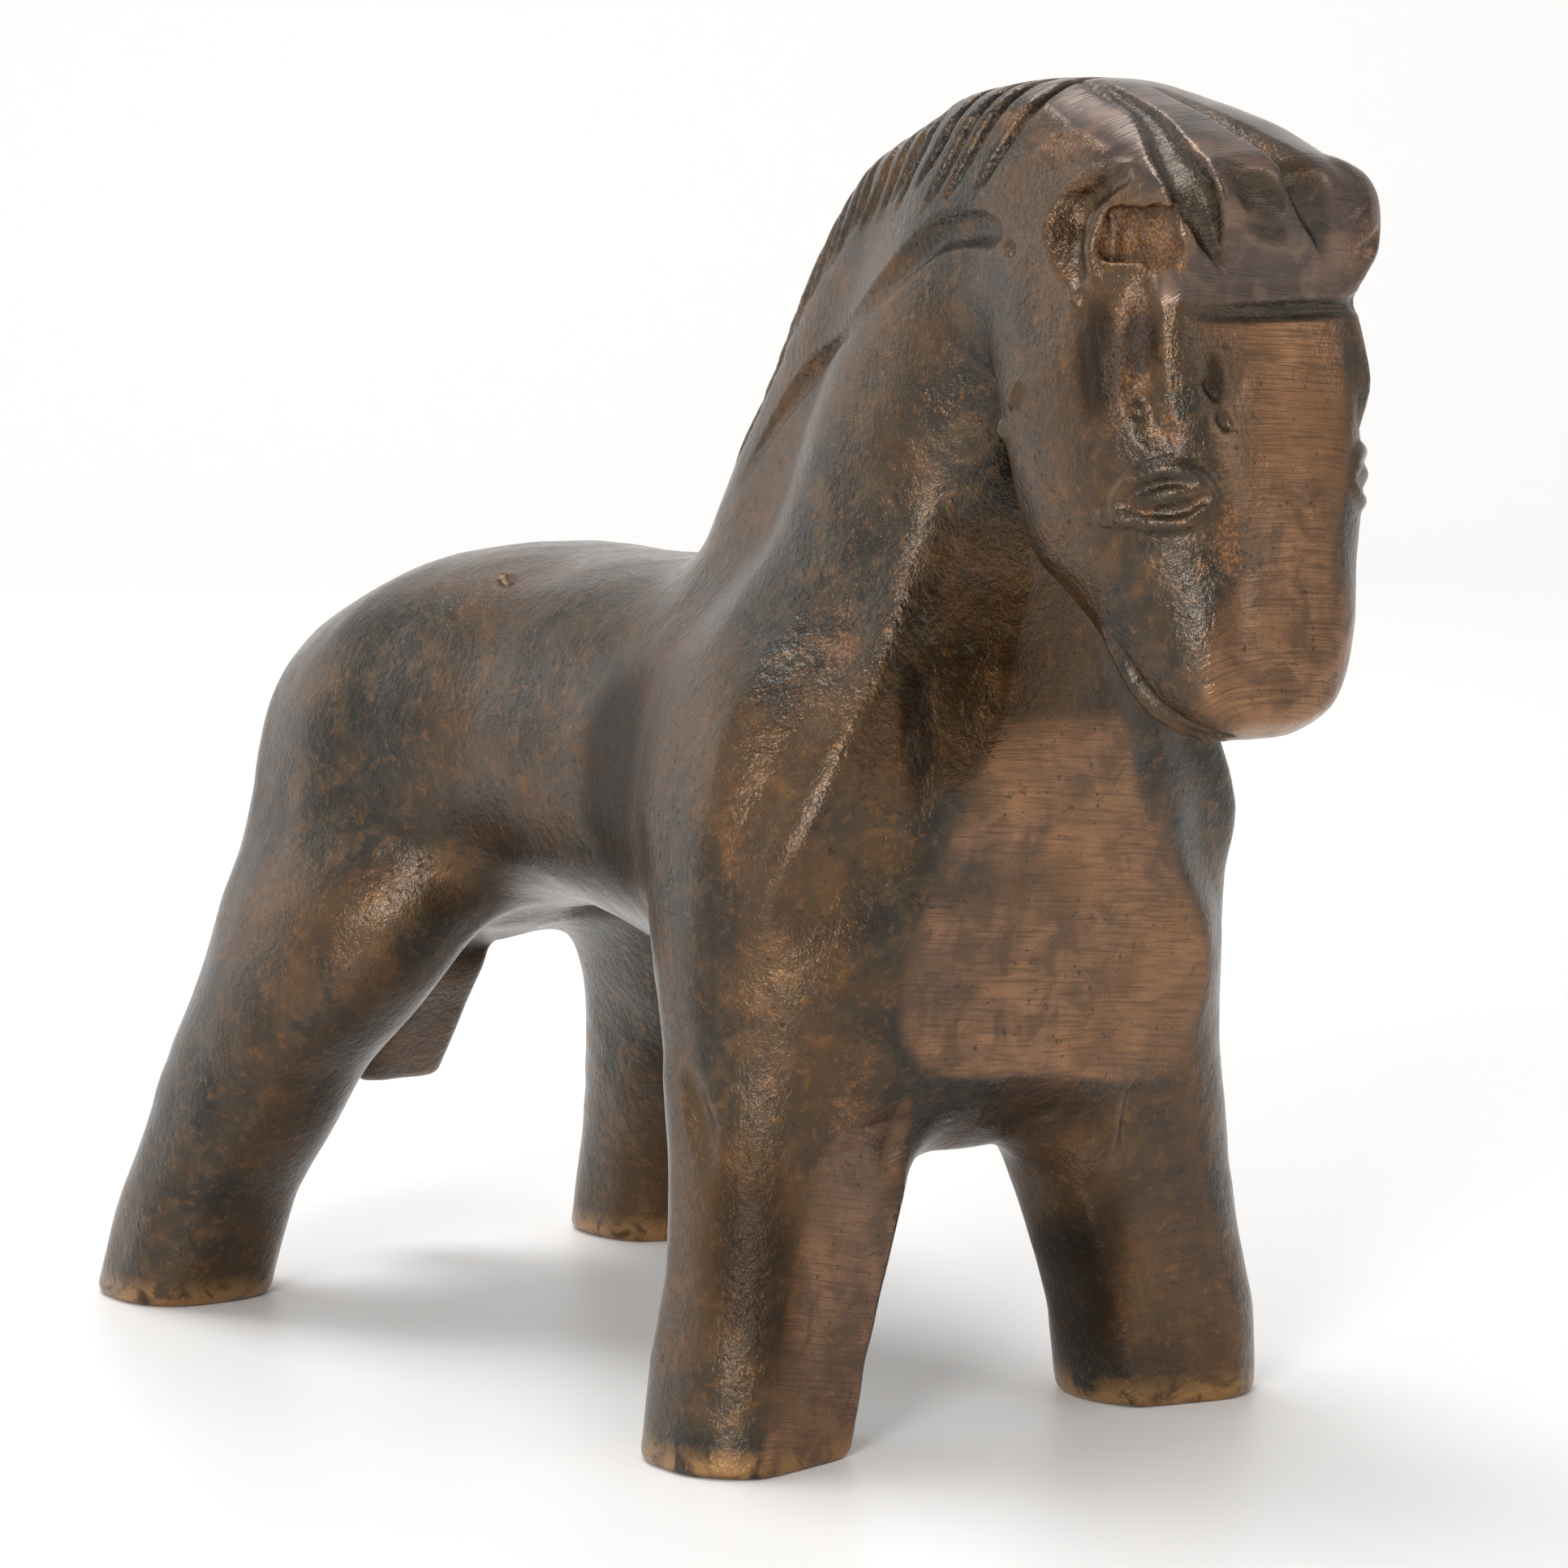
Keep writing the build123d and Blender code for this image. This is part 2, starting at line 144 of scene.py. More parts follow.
BOTH_SIDES = {
    # ear
    "ear_rim": ("soft", 0.6, [
        (-8.4, -52.4, 94.0, -0.15, 0.8, 0.8), (-9.4, -49.0, 93.4, -0.35, 1.0, 1.0),
        (-9.7, -46.6, 91.8, -0.5, 1.1, 1.1), (-10.2, -46.2, 89.8, -0.5, 1.1, 1.1),
        (-10.9, -47.4, 87.6, -0.4, 1.0, 1.0), (-11.2, -49.2, 85.8, -0.2, 0.8, 0.8)]),
    "ear_hollow": ("soft", 0.6, [
        (-8.9, -52.6, 93.2, 0.4, 1.0, 1.0), (-9.6, -49.6, 92.2, 0.95, 1.5, 1.5),
        (-10.0, -48.3, 90.6, 1.25, 1.8, 1.8), (-10.3, -49.0, 88.4, 1.05, 1.5, 1.5),
        (-10.8, -50.2, 86.4, 0.4, 1.0, 1.0)]),
    "ear_fold": ("soft", 0.6, [
        (-9.3, -52.4, 91.8, -0.2, 0.8, 0.8), (-9.8, -51.2, 90.4, -0.4, 0.9, 0.9),
        (-10.3, -51.0, 88.4, -0.4, 0.9, 0.9), (-10.7, -51.9, 86.2, -0.2, 0.7, 0.7)]),
    "ear_drop": ("soft", 0.5, [
        (-11.3, -50.0, 85.4, -0.4, 0.9, 0.9), (-11.4, -50.4, 84.6, -0.5, 1.0, 1.0)]),
    # hollow beside the face, and the soft ridge outside it
    "temple": ("soft", 1.2, [
        (-9.4, -55.4, 85.2, 0.35, 1.6, 1.4), (-9.6, -55.4, 81.4, 0.8, 2.2, 1.8),
        (-9.5, -56.0, 77.4, 0.65, 2.0, 1.8), (-8.8, -57.4, 75.0, 0.2, 1.4, 1.2)]),
    "temple_ridge": ("soft", 1.2, [
        (-11.3, -51.6, 84.2, -0.05, 1.0, 1.0), (-11.3, -52.6, 81.4, -0.2, 1.0, 1.0),
        (-11.3, -53.2, 78.4, -0.18, 1.0, 1.0), (-11.3, -53.2, 75.0, -0.05, 1.0, 1.0)]),
    # mouth
    "lip_low": ("soft", 0.8, [
        (-9.8, -50.8, 61.6, -0.3, 0.8, 0.8), (-9.4, -52.4, 58.2, -0.75, 1.1, 1.1),
        (-8.4, -53.8, 56.2, -0.8, 1.2, 1.1), (-6.2, -55.4, 54.8, -0.6, 1.1, 1.1),
        (-3.0, -56.8, 54.2, -0.2, 0.8, 0.8)]),
    "mouth": ("vee", 0.8, [
        (-9.4, -52.8, 60.6, 0.3, 0.35, 0.35), (-9.0, -54.2, 58.2, 0.7, 0.45, 0.45),
        (-7.8, -56.0, 56.2, 0.75, 0.5, 0.45), (-5.9, -57.6, 55.2, 0.6, 0.45, 0.4),
        (-3.4, -58.6, 54.8, 0.2, 0.35, 0.35)]),
    # groove under the mane
    "mane_groove": ("round", 1.2, [
        (-10.0, -40.0, 89.3, 0.6, 1.1, 1.1), (-9.2, -36.8, 89.8, 1.0, 1.45, 1.35),
        (-9.4, -33.0, 89.4, 1.05, 1.5, 1.35), (-9.7, -29.6, 87.8, 1.05, 1.5, 1.3),
        (-9.6, -25.6, 85.2, 1.0, 1.5, 1.3), (-8.8, -20.6, 82.4, 0.95, 1.5, 1.3),
        (-6.6, -14.0, 80.0, 0.85, 1.4, 1.2), (-5.8, -9.4, 77.2, 0.7, 1.2, 1.1),
        (-6.0, -6.2, 73.6, 0.4, 1.0, 0.9), (-6.4, -3.8, 70.0, 0.05, 0.6, 0.6)]),
    "groove_dimple": ("soft", 0.5, [
        (-10.7, -42.0, 88.6, 0.5, 0.8, 0.8), (-10.9, -42.6, 88.2, 0.4, 0.7, 0.7)]),
    # ridge down the side of the neck to the shoulder
    "neck_ridge": ("soft", 3.0, [
        (-9.6, -31.4, 70.0, -0.3, 2.6, 2.6), (-12.2, -30.4, 60.3, -1.1, 3.8, 3.6),
        (-16.6, -30.6, 52.3, -1.3, 4.4, 4.0), (-20.2, -29.2, 44.8, -1.1, 4.4, 4.2),
        (-22.6, -26.8, 39.0, -0.4, 3.6, 3.6)]),
    "neck_edge": ("soft", 1.2, [
        (-11.2, -31.0, 65.0, -0.1, 1.6, 1.6), (-12.4, -30.5, 60.0, -0.4, 2.1, 2.1),
        (-16.6, -30.6, 52.3, -0.5, 2.4, 2.4), (-20.0, -29.3, 45.2, -0.45, 2.4, 2.4),
        (-22.0, -27.8, 40.6, -0.1, 1.8, 1.8)]),
    "neck_fold": ("soft", 3.0, [
        (-8.0, -35.0, 62.0, 0.05, 3.6, 3.6), (-11.5, -34.0, 54.0, 0.3, 4.6, 4.4),
        (-15.0, -32.6, 46.0, 0.35, 5.0, 4.6), (-18.0, -31.0, 39.0, 0.2, 4.4, 4.0),
        (-19.2, -30.0, 33.0, 0.02, 3.4, 3.4)]),
    "throat": ("soft", 3.0, [
        (-4.5, -34.5, 70.0, 0.1, 3.0, 3.0), (-6.0, -34.0, 62.0, 0.5, 4.0, 3.5),
        (-8.5, -34.2, 54.0, 0.4, 4.5, 3.0), (-9.5, -34.0, 47.0, 0.1, 3.0, 2.0)]),
}
EYE = {
    "lid_top": ("round", 0.5, [
        (-11.0, -54.1, 71.2, -0.3, 0.7, 0.7), (-10.5, -55.4, 72.7, -0.5, 0.8, 0.75),
        (-8.9, -57.3, 73.5, -0.62, 0.9, 0.8), (-7.3, -58.6, 73.0, -0.55, 0.85, 0.75),
        (-6.4, -59.2, 71.9, -0.35, 0.7, 0.6)]),
    "lid_bottom": ("round", 0.5, [
        (-11.0, -54.3, 70.5, -0.4, 0.7, 0.6), (-9.7, -56.4, 69.8, -0.5, 0.75, 0.65),
        (-8.1, -58.0, 69.9, -0.5, 0.7, 0.6), (-6.9, -59.0, 70.8, -0.4, 0.65, 0.6),
        (-6.1, -59.5, 71.7, -0.15, 0.5, 0.5)]),
    "eye_tail": ("soft", 0.4, [
        (-11.5, -53.2, 70.0, -0.3, 1.0, 1.0), (-10.8, -54.8, 69.8, -0.4, 1.0, 0.9)]),
    "eye_ball": ("soft", 0.5, [
        (-10.3, -55.6, 71.1, -0.25, 0.6, 0.6), (-8.7, -57.5, 71.8, -0.65, 1.15, 1.05),
        (-7.1, -58.6, 72.1, -0.3, 0.6, 0.6)]),
}
ONE_SIDE = {
    "ear_lobe": ("soft", 0.6, [
        (6.6, -57.4, 94.0, -0.5, 2.0, 2.0), (8.2, -56.6, 91.4, -1.3, 3.2, 3.0),
        (8.6, -56.6, 88.6, -1.2, 2.8, 2.8), (8.2, -56.6, 86.6, -0.3, 1.6, 1.6)]),
    "ear_pit": ("soft", 0.4, [(8.0, -57.4, 89.2, 0.8, 0.9, 0.9), (7.8, -57.6, 88.6, 0.8, 0.9, 0.9)]),
    "face_bulge": ("soft", 1.0, [
        (8.6, -56.0, 82.0, -0.2, 2.0, 2.0), (9.0, -56.4, 79.0, -0.8, 2.6, 2.6),
        (9.0, -56.8, 76.6, -0.3, 1.8, 1.8)]),
    "blister_1": ("soft", 0.4, [(-12.2, -44.6, 78.6, -0.5, 1.0, 1.0), (-12.2, -44.2, 77.9, -0.5, 1.0, 1.0)]),
    "blister_2": ("soft", 0.4, [(-10.8, -41.6, 76.0, -0.5, 0.9, 0.9), (-10.7, -41.4, 75.5, -0.5, 0.9, 0.9)]),
    "pit_1": ("round", 0.5, [(-6.3, -58.6, 79.3, 0.5, 0.6, 0.6), (-5.7, -58.7, 78.3, 0.5, 0.45, 0.45)]),
    "pit_2": ("round", 0.5, [(-5.4, -59.0, 77.0, 0.5, 0.65, 0.65), (-5.0, -59.1, 76.3, 0.5, 0.5, 0.5)]),
    "croup_pit": ("soft", 0.6, [(-11.4, 22.0, 61.6, 0.5, 0.9, 0.9), (-10.6, 23.6, 61.7, 0.6, 0.9, 0.9)]),
    "dent": ("soft", 0.8, [
        (-24.6, -22.4, 28.6, 0.2, 1.4, 1.4), (-24.4, -23.8, 25.4, 0.7, 1.8, 1.8),
        (-24.4, -25.0, 22.0, 0.2, 1.2, 1.2)]),
}
# Flat-floored pocket below the ear: a point on the skin, half length, half height, how deep.
POCKET = ((-9.25, -54.8, 89.2), 3.2, 1.95, 0.7)
# Pitted patches of the casting skin: centre and radii.
PITTED = [
    ((-9.9, -49.5, 92.5), (2.0, 3.4, 2.8)),
    ((-8.6, -44.5, 95.0), (2.2, 5.0, 2.0)), ((-11.5, -37.0, 76.0), (2.4, 4.0, 7.0)),
    ((-9.6, -55.6, 79.0), (1.6, 1.8, 4.5)),
]
# The top line of the mane, as y and z, from poll to its end on the neck.
TOP_LINE = [(-40.0, 99.9), (-29.1, 99.7), (-22.3, 98.5), (-16.3, 96.7), (-12.3, 94), (-8.6, 91),
            (-5, 87), (-2.3, 82.6), (0.4, 78.1)]
MANE_STROKES = 18
FAR_EYE_LIFT = 1.0
FAR_EYE_SHARE = 0.65
FAR = 12.0           # distance given to points well away from a shape


# ---------------------------------------------------------------- distance tools
def smin(a, b, k):
    h = np.clip(0.5 + 0.5 * (b - a) / k, 0, 1)
    return b * (1 - h) + a * h - k * h * (1 - h)


def smax(a, b, k):
    return -smin(-a, -b, k)


def smooth_rows(rows, count=200):
    """Rows resampled at an even spacing along a curve that never overshoots."""
    r = np.array(rows, float)
    t = r[:, 0]
    even = np.linspace(t[0], t[-1], count)
    k = np.clip(np.searchsorted(t, even, side="right") - 1, 0, len(t) - 2)
    out = [even]
    for col in r.T[1:]:
        step = np.diff(col) / np.diff(t)
        slope = np.empty(len(t))
        slope[0], slope[-1] = step[0], step[-1]
        a, b = step[:-1], step[1:]
        slope[1:-1] = np.where(a * b > 0, 2 * a * b / np.where(a + b == 0, 1, a + b), 0)
        w = t[k + 1] - t[k]
        x = (even - t[k]) / w
        out.append((2 * x**3 - 3 * x**2 + 1) * col[k] + (x**3 - 2 * x**2 + x) * w * slope[k]
                   + (3 * x**2 - 2 * x**3) * col[k + 1] + (x**3 - x**2) * w * slope[k + 1])
    return out


class Loft:
    """Distance to a row of superellipses along z or y, with rounded ends."""

    def __init__(self, rows, along, round_low, round_high):
        self.t, *self.cols = smooth_rows(rows)
        self.along = along
        self.rounds = (round_low, round_high)
        cu, cv, a, b, _ = self.cols
        lo = [np.min(cu - a), np.min(cv - b)]
        hi = [np.max(cu + a), np.max(cv + b)]
        lo.insert(2 if along == "z" else 1, self.t[0])
        hi.insert(2 if along == "z" else 1, self.t[-1])
        self.lo, self.hi = np.array(lo) - 9, np.array(hi) + 9

    def __call__(self, p):
        out = np.full(len(p), FAR)
        near = np.flatnonzero(((p > self.lo) & (p < self.hi)).all(1))
        q = p[near]
        t, u, v = (q[:, 2], q[:, 0], q[:, 1]) if self.along == "z" else (q[:, 1], q[:, 0], q[:, 2])
        cu, cv, a, b, n = [np.interp(t, self.t, c) for c in self.cols]
        du, dv = u - cu, v - cv
        k = ((np.abs(du) / a) ** n + (np.abs(dv) / b) ** n) ** (1 / n) + 1e-6
        d = np.maximum(np.hypot(du, dv) * (1 - 1 / k), -np.minimum(a, b))
        d = smax(d, self.t[0] - t, self.rounds[0])
        out[near] = smax(d, t - self.t[-1], self.rounds[1])
        return out


trunk_loft = Loft(TRUNK, "y", 6, 9)
neck_loft = Loft(NECK, "z", 6, 4)
crest_loft = Loft(CREST, "z", 6, 3)
head_loft = Loft(HEAD, "z", 2.5, 4)
cap_loft = Loft(CAP, "y", 2, 5)
foreleg_loft = Loft(FORELEG, "z", 1.0, 8)
hind_leg_loft = Loft(HIND_LEG, "z", 1.0, 10)
tail_loft = Loft(TAIL, "z", 0.8, 3)
face_line = smooth_rows(FACE)


def smooth_form(p):
    """Distance from each point, in mm, to the plain form of the horse: below zero is metal."""
    m = mirrored(p)
    d = trunk_loft(p)
    d = smin(d, neck_loft(p), 5)
    d = smin(d, crest_loft(p), 4)
    head = smin(head_loft(p), cap_loft(p), 1.5)
    face_y = np.interp(p[:, 2], *face_line)
    head = smax(head, face_y - p[:, 1], 0.5)
    d = smin(d, head, 2 + 2.5 * np.clip((p[:, 2] - 76) / 8, 0, 1))
    lean = m.copy()
    lean[:, 0] += 0.8 * np.clip(p[:, 0] / 4, 0, 1)
    d = smin(d, foreleg_loft(lean), 4)
    d = smin(d, hind_leg_loft(m), 5)
    return smin(d, tail_loft(p), 1.5)


def mirrored(p):
    m = p.copy()
    m[:, 0] = np.abs(m[:, 0])
    return m


def flipped(rows, lift=0, share=1.0):
    """The same rows on the other side of the horse, moved up and with a share of the depth."""
    return [(-x, y, z + lift, share * depth, b, a) for x, y, z, depth, a, b in rows]


def gradient(form, p, e=0.05):
    """Gradient and value of a distance at points."""
    signs = np.array([(1, 1, 1), (1, -1, -1), (-1, 1, -1), (-1, -1, 1)], float)
    g = np.zeros_like(p)
    d = np.zeros(len(p))
    for s in signs:
        f = form(p + e * s)
        g += s * f[:, None]
        d += f
    return g / (4 * e), d / 4


SHAPES = {
    "vee": lambda r: np.clip(1 - r, 0, 1),
    "round": lambda r: np.clip(1 - r * r, 0, 1),
    "scoop": lambda r: np.clip(1 - r ** 3, 0, 1),
    "soft": lambda r: np.clip(1 - r * r, 0, 1) ** 2,
}


class Stroke:
    """A groove or a raised band that follows a path on the skin."""

    def __init__(self, shape, spacing, rows):
        self.shape = SHAPES[shape]
        r = np.array(rows, float)
        place = np.r_[0, np.cumsum(np.linalg.norm(np.diff(r[:, :3], axis=0), axis=1))]
        count = max(2, int(place[-1] / spacing) + 2)
        cols = smooth_rows(np.column_stack([place, r]), count)[1:]
        c = np.stack(cols[:3], 1)
        for _ in range(4):
            g, d = gradient(smooth_form, c)
            g /= np.linalg.norm(g, axis=1)[:, None]
            c = c - d[:, None] * g
        self.c, self.depth, self.left, self.right = c, *cols[3:]
        along = np.gradient(c, axis=0)
        side_way = np.cross(g, along)
        self.normal = g
        self.side = side_way / np.linalg.norm(side_way, axis=1)[:, None]
        reach = max(self.left.max(), self.right.max()) + 0.4
        self.lo, self.hi = c.min(0) - reach, c.max(0) + reach
        self.reach = reach
        self.spread = 2.0 * (place[-1] / (count - 1)) ** 2

    def bump(self, p):
        """Which points it touches, and the depth that it takes off at each."""
        near = np.flatnonzero(((p > self.lo) & (p < self.hi)).all(1))
        q, c = p[near], self.c
        gap = (q * q).sum(1)[:, None] - 2 * q @ c.T + (c * c).sum(1)
        least = gap.min(1)
        keep = least < (self.reach + 1.2) ** 2
        near, q, gap = near[keep], q[keep], gap[keep] - least[keep, None]
        n = np.arange(len(c))
        weight = np.exp(-gap / self.spread)
        at = (weight @ n) / weight.sum(1)
        pick = lambda table: np.interp(at, n, table)
        off = q - np.stack([pick(c[:, k]) for k in range(3)], 1)
        up = sum(off[:, k] * pick(self.normal[:, k]) for k in range(3))
        across = sum(off[:, k] * pick(self.side[:, k]) for k in range(3))
        width = np.where(across < 0, pick(self.left), pick(self.right))
        r = np.sqrt(np.maximum((off ** 2).sum(1) - up ** 2, 0)) / width
        return near, pick(self.depth) * self.shape(r)


def mane_rows(way):
    """One curved cut for each lock of the mane, from the top line down and back."""
    line = np.array(TOP_LINE)
    place = np.r_[0, np.cumsum(np.linalg.norm(np.diff(line, axis=0), axis=1))]
    wander = np.random.default_rng(5)
    for k in range(MANE_STROKES):
        at = place[-1] * (k + 0.2) / MANE_STROKES
        y, z = np.interp(at, place, line[:, 0]), np.interp(at, place, line[:, 1])
        f = k / (MANE_STROKES - 1)
        deep = 0.88 - 0.2 * f + 0.08 * wander.standard_normal()
        y += 0.25 * wander.standard_normal()
        long = 1.0 + 0.12 * wander.standard_normal()
        yield [(way * -0.6, y, z, 0.35 * deep, 0.35, 0.6), (way * -3.2, y + 0.2, z - 1.0, deep, 0.5, 1.0),
               (way * -6.4, y + 1.2 * long, z - 3.4, deep, 0.5, 1.05),
               (way * -7.6, y + (2.4 + 0.6 * f) * long, z - 6.2 * long, 0.8 * deep, 0.45, 0.95),
               (way * -7.8, y + (3.6 + 1.0 * f) * long, z - 8.4 * long, 0.05, 0.3, 0.4)]


strokes = {}
for table, far_lift in ((STROKES, None), (ONE_SIDE, None), (BOTH_SIDES, 0), (EYE, FAR_EYE_LIFT)):
    for name, (shape, spacing, rows) in table.items():
        strokes[name] = Stroke(shape, spacing, rows)
        if far_lift is not None:
            share = FAR_EYE_SHARE if table is EYE else 1.0
            strokes[name + "_far"] = Stroke(shape, spacing, flipped(rows, far_lift, share))
for way in (1, -1):
    for k, rows in enumerate(mane_rows(way)):
        strokes[f"mane_{way}_{k}"] = Stroke("vee", 0.9, rows)


def ball_mask(p, centre, radii, soft=0.35):
    """1 inside an ellipsoid, falling to 0 at its skin."""
    r = np.linalg.norm((p - np.array(centre)) / np.array(radii), axis=1)
    return np.clip((1 - r) / soft, 0, 1)


def lattice(seed, size=32):
    """A block of random values for noise()."""
    return np.random.default_rng(seed).uniform(-1, 1, (size, size, size))


def noise(p, scale, table):
    """Smooth random values, about -1 to 1, that repeat far outside the horse."""
    q = p / scale
    base = np.floor(q).astype(int)
    f = q - base
    f = f * f * f * (f * (f * 6 - 15) + 10)
    n = len(table)
    out = np.zeros(len(p))
    for i, j, k in CORNERS:
        w = (f[:, 0] if i else 1 - f[:, 0]) * (f[:, 1] if j else 1 - f[:, 1])
        w = w * (f[:, 2] if k else 1 - f[:, 2])
        out += w * table[(base[:, 0] + i) % n, (base[:, 1] + j) % n, (base[:, 2] + k) % n]
    return out


LUMPS = lattice(3)


def cut_plane(name, p):
    """How far each point stands outside one of the flat cuts."""
    at, way = CUTS[name]
    way = np.array(way) / np.linalg.norm(way)
    return (p - np.array(at)) @ way


def leg_flat(m, depth):
    """A flat of the given depth down the front of a foreleg, turned a little inward."""
    inward, ahead = 0.22, 0.975
    cu, cv, a, b, n = [np.interp(m[:, 2], foreleg_loft.t, c) for c in foreleg_loft.cols]
    n = n / (n - 1)
    reach = ((inward * a) ** n + (ahead * b) ** n) ** (1 / n)
    return -inward * (m[:, 0] - cu) - ahead * (m[:, 1] - cv) - reach + depth


def pocket(p):
    """How far each point stands over the floor of the pocket, held to its outline."""
    at, long, high, deep = POCKET
    g, d = gradient(smooth_form, np.array([at]))
    up = g[0] / np.linalg.norm(g[0])
    level = np.cross(up, (0, 0, 1))
    level /= np.linalg.norm(level)
    off = p - (np.array(at) - d[0] * up)
    outline = smin(long - np.abs(off @ level), high - np.abs(off @ np.cross(level, up)), 0.8)
    floor = off @ up + deep + 0.2 * noise(p, 0.85, LUMPS)
    return np.minimum(floor, 0.8 * (outline + 0.45 * noise(p, 1.3, LUMPS)))


def facets(p):
    """How far each point stands outside the flat cuts that reach it: chest, then forelegs."""
    x, z = p[:, 0], p[:, 2]
    chest = cut_plane("chest", p) - 0.6 * np.maximum(z - 54, 0) - 0.5 * np.maximum(25 - z, 0)
    under = cut_plane("under", p) - 1.2 * np.maximum(np.abs(x - 1.5) - 3.5, 0)
    under = under - 1.5 * np.maximum(23.5 - z, 0)
    in_front = (z > 12) & (z < 66) & (p[:, 1] < -22) & (p[:, 1] > -42)
    chest = np.where(in_front, np.maximum(chest, under), -FAR)
    legs = leg_flat(mirrored(p), np.where(x < 0, 1.35, 0.9) * np.clip((28 - z) / 5, 0, 1))
    legs = legs - 0.5 * np.maximum(z - 25, 0)
    legs = legs - np.maximum(11 - np.abs(x), 0) * np.clip((z - 18) / 4, 0, 1)
    legs = np.where((p[:, 1] < -22) & (z < 40), legs, -FAR)
    return chest, legs


def field(p):
    """Distance from each point, in mm, to the skin of the horse: below zero is metal."""
    d = smooth_form(p)
    close = np.flatnonzero(np.abs(d) < 3.2)
    q, e = p[close], d[close]
    for cut in facets(q):
        e = smax(e, cut, 0.35)
    pitted = sum(ball_mask(q, centre, radii, 0.6) for centre, radii in PITTED)
    e += 0.16 * noise(q, 7.0, LUMPS) + 0.05 * noise(q, 2.3, LUMPS)
    e += 0.22 * pitted * noise(q, 0.85, LUMPS)
    d[close] = smax(e + tooling(q), pocket(q), 0.3)
    return np.maximum(d, -p[:, 2])


def tooling(q):
    """Depth taken off (or put on, below zero) by all the strokes."""
    cut, raised = np.zeros(len(q)), np.zeros(len(q))
    for stroke in strokes.values():
        near, depth = stroke.bump(q)
        cut[near] = np.maximum(cut[near], depth)
        raised[near] += np.minimum(depth, 0)
    return cut + raised


# ---------------------------------------------------------------- meshing
LOW = np.array([-36.0, -67.0, -2.0])
HIGH = np.array([36.0, 66.0, 104.0])


def grid_points(index, spacing):
    return LOW + spacing * np.stack(index, -1)


def sampled():
    """The field on the fine grid near the surface, and only which side it is on elsewhere."""
    cells = np.ceil((HIGH - LOW) / (CELL * COARSE)).astype(int)
    coarse_index = np.indices(cells + 1).reshape(3, -1)
    coarse = field(grid_points(coarse_index, CELL * COARSE)).reshape(cells + 1)
    reach = CELL * COARSE * 1.3
    c = np.stack([coarse[i:i + cells[0], j:j + cells[1], k:k + cells[2]] for i, j, k in CORNERS])
    busy = (np.abs(c).min(0) < reach)
    fine = np.repeat(np.repeat(np.repeat(coarse[:-1, :-1, :-1], COARSE, 0), COARSE, 1), COARSE, 2)
    fine = np.pad(fine, ((0, 1),) * 3, mode="edge").astype(np.float32)
    fine = np.where(fine < 0, -FAR, FAR).astype(np.float32)
    block = np.stack(np.nonzero(busy)) * COARSE
    offs = np.indices((COARSE + 1,) * 3).reshape(3, -1)
    want = np.zeros(fine.shape, bool)
    for o in offs.T:
        want[block[0] + o[0], block[1] + o[1], block[2] + o[2]] = True
    index = np.nonzero(want)
    values = np.empty(len(index[0]), np.float32)
    for s in range(0, len(values), BATCH):
        part = tuple(i[s:s + BATCH] for i in index)
        values[s:s + BATCH] = field(grid_points(part, CELL))
    fine[index] = values
    return fine


def net_points(fine, cell):
    """One point in each crossed cell, at the mean of the crossings of its edges."""
    val = np.stack([fine[cell[0] + i, cell[1] + j, cell[2] + k] for i, j, k in CORNERS])
    sums = np.zeros(cell.shape)
    hits = np.zeros(cell.shape[1])
    for a, ca in enumerate(CORNERS):
        for b, cb in enumerate(CORNERS):
            if a < b and sum(abs(x - y) for x, y in zip(ca, cb)) == 1:
                crossing = (val[a] < 0) != (val[b] < 0)
                t = np.where(crossing, val[a] / np.where(crossing, val[a] - val[b], 1), 0)
                for axis in range(3):
                    sums[axis] += np.where(crossing, ca[axis] + t * (cb[axis] - ca[axis]), 0)
                hits += crossing
    return LOW + CELL * (cell + sums / hits).T


def net_quads(inside, flat, n):
    """A quad round each grid edge that the surface crosses."""
    quads = []
    for axis in range(3):
        lead = [slice(1, -1)] * 3
        lead[axis] = slice(0, -1)
        ahead = [slice(1, -1)] * 3
        ahead[axis] = slice(1, None)
        a, b = inside[tuple(lead)], inside[tuple(ahead)]
        edge = np.stack(np.nonzero(a != b))
        starts_in = a[tuple(edge)]
        base = edge + 1
        base[axis] -= 1
        u, v = (axis + 1) % 3, (axis + 2) % 3
        ring = []
        for du, dv in ((1, 1), (0, 1), (0, 0), (1, 0)):
            q = base.copy()
            q[u] -= du
            q[v] -= dv
            ring.append(np.searchsorted(flat, np.ravel_multi_index(tuple(q), tuple(n))))
        ring = np.stack(ring, 1)
        ring = np.where(starts_in[:, None], ring[:, ::-1], ring)
        quads.append(ring[:, ::-1])
    return np.concatenate(quads)


def skin():
    """Surface nets over the distance field, pulled onto the exact surface."""
    fine = sampled()
    inside = fine < 0
    n = np.array(fine.shape) - 1
    total = np.zeros(tuple(n), np.int8)
    for i, j, k in CORNERS:
        total += inside[i:i + n[0], j:j + n[1], k:k + n[2]]
    cell = np.stack(np.nonzero((total > 0) & (total < len(CORNERS))))
    flat = np.ravel_multi_index(tuple(cell), tuple(n))
    verts = net_points(fine, cell)
    quads = net_quads(inside, flat, n)
    for _ in range(2):
        g, d = gradient(field, verts)
        move = (d / np.maximum((g * g).sum(1), 0.2))[:, None] * g
        verts -= np.clip(move, -0.4 * CELL, 0.4 * CELL)
    verts[:, 2] = np.maximum(verts[:, 2], 0.0)
    return verts, quads


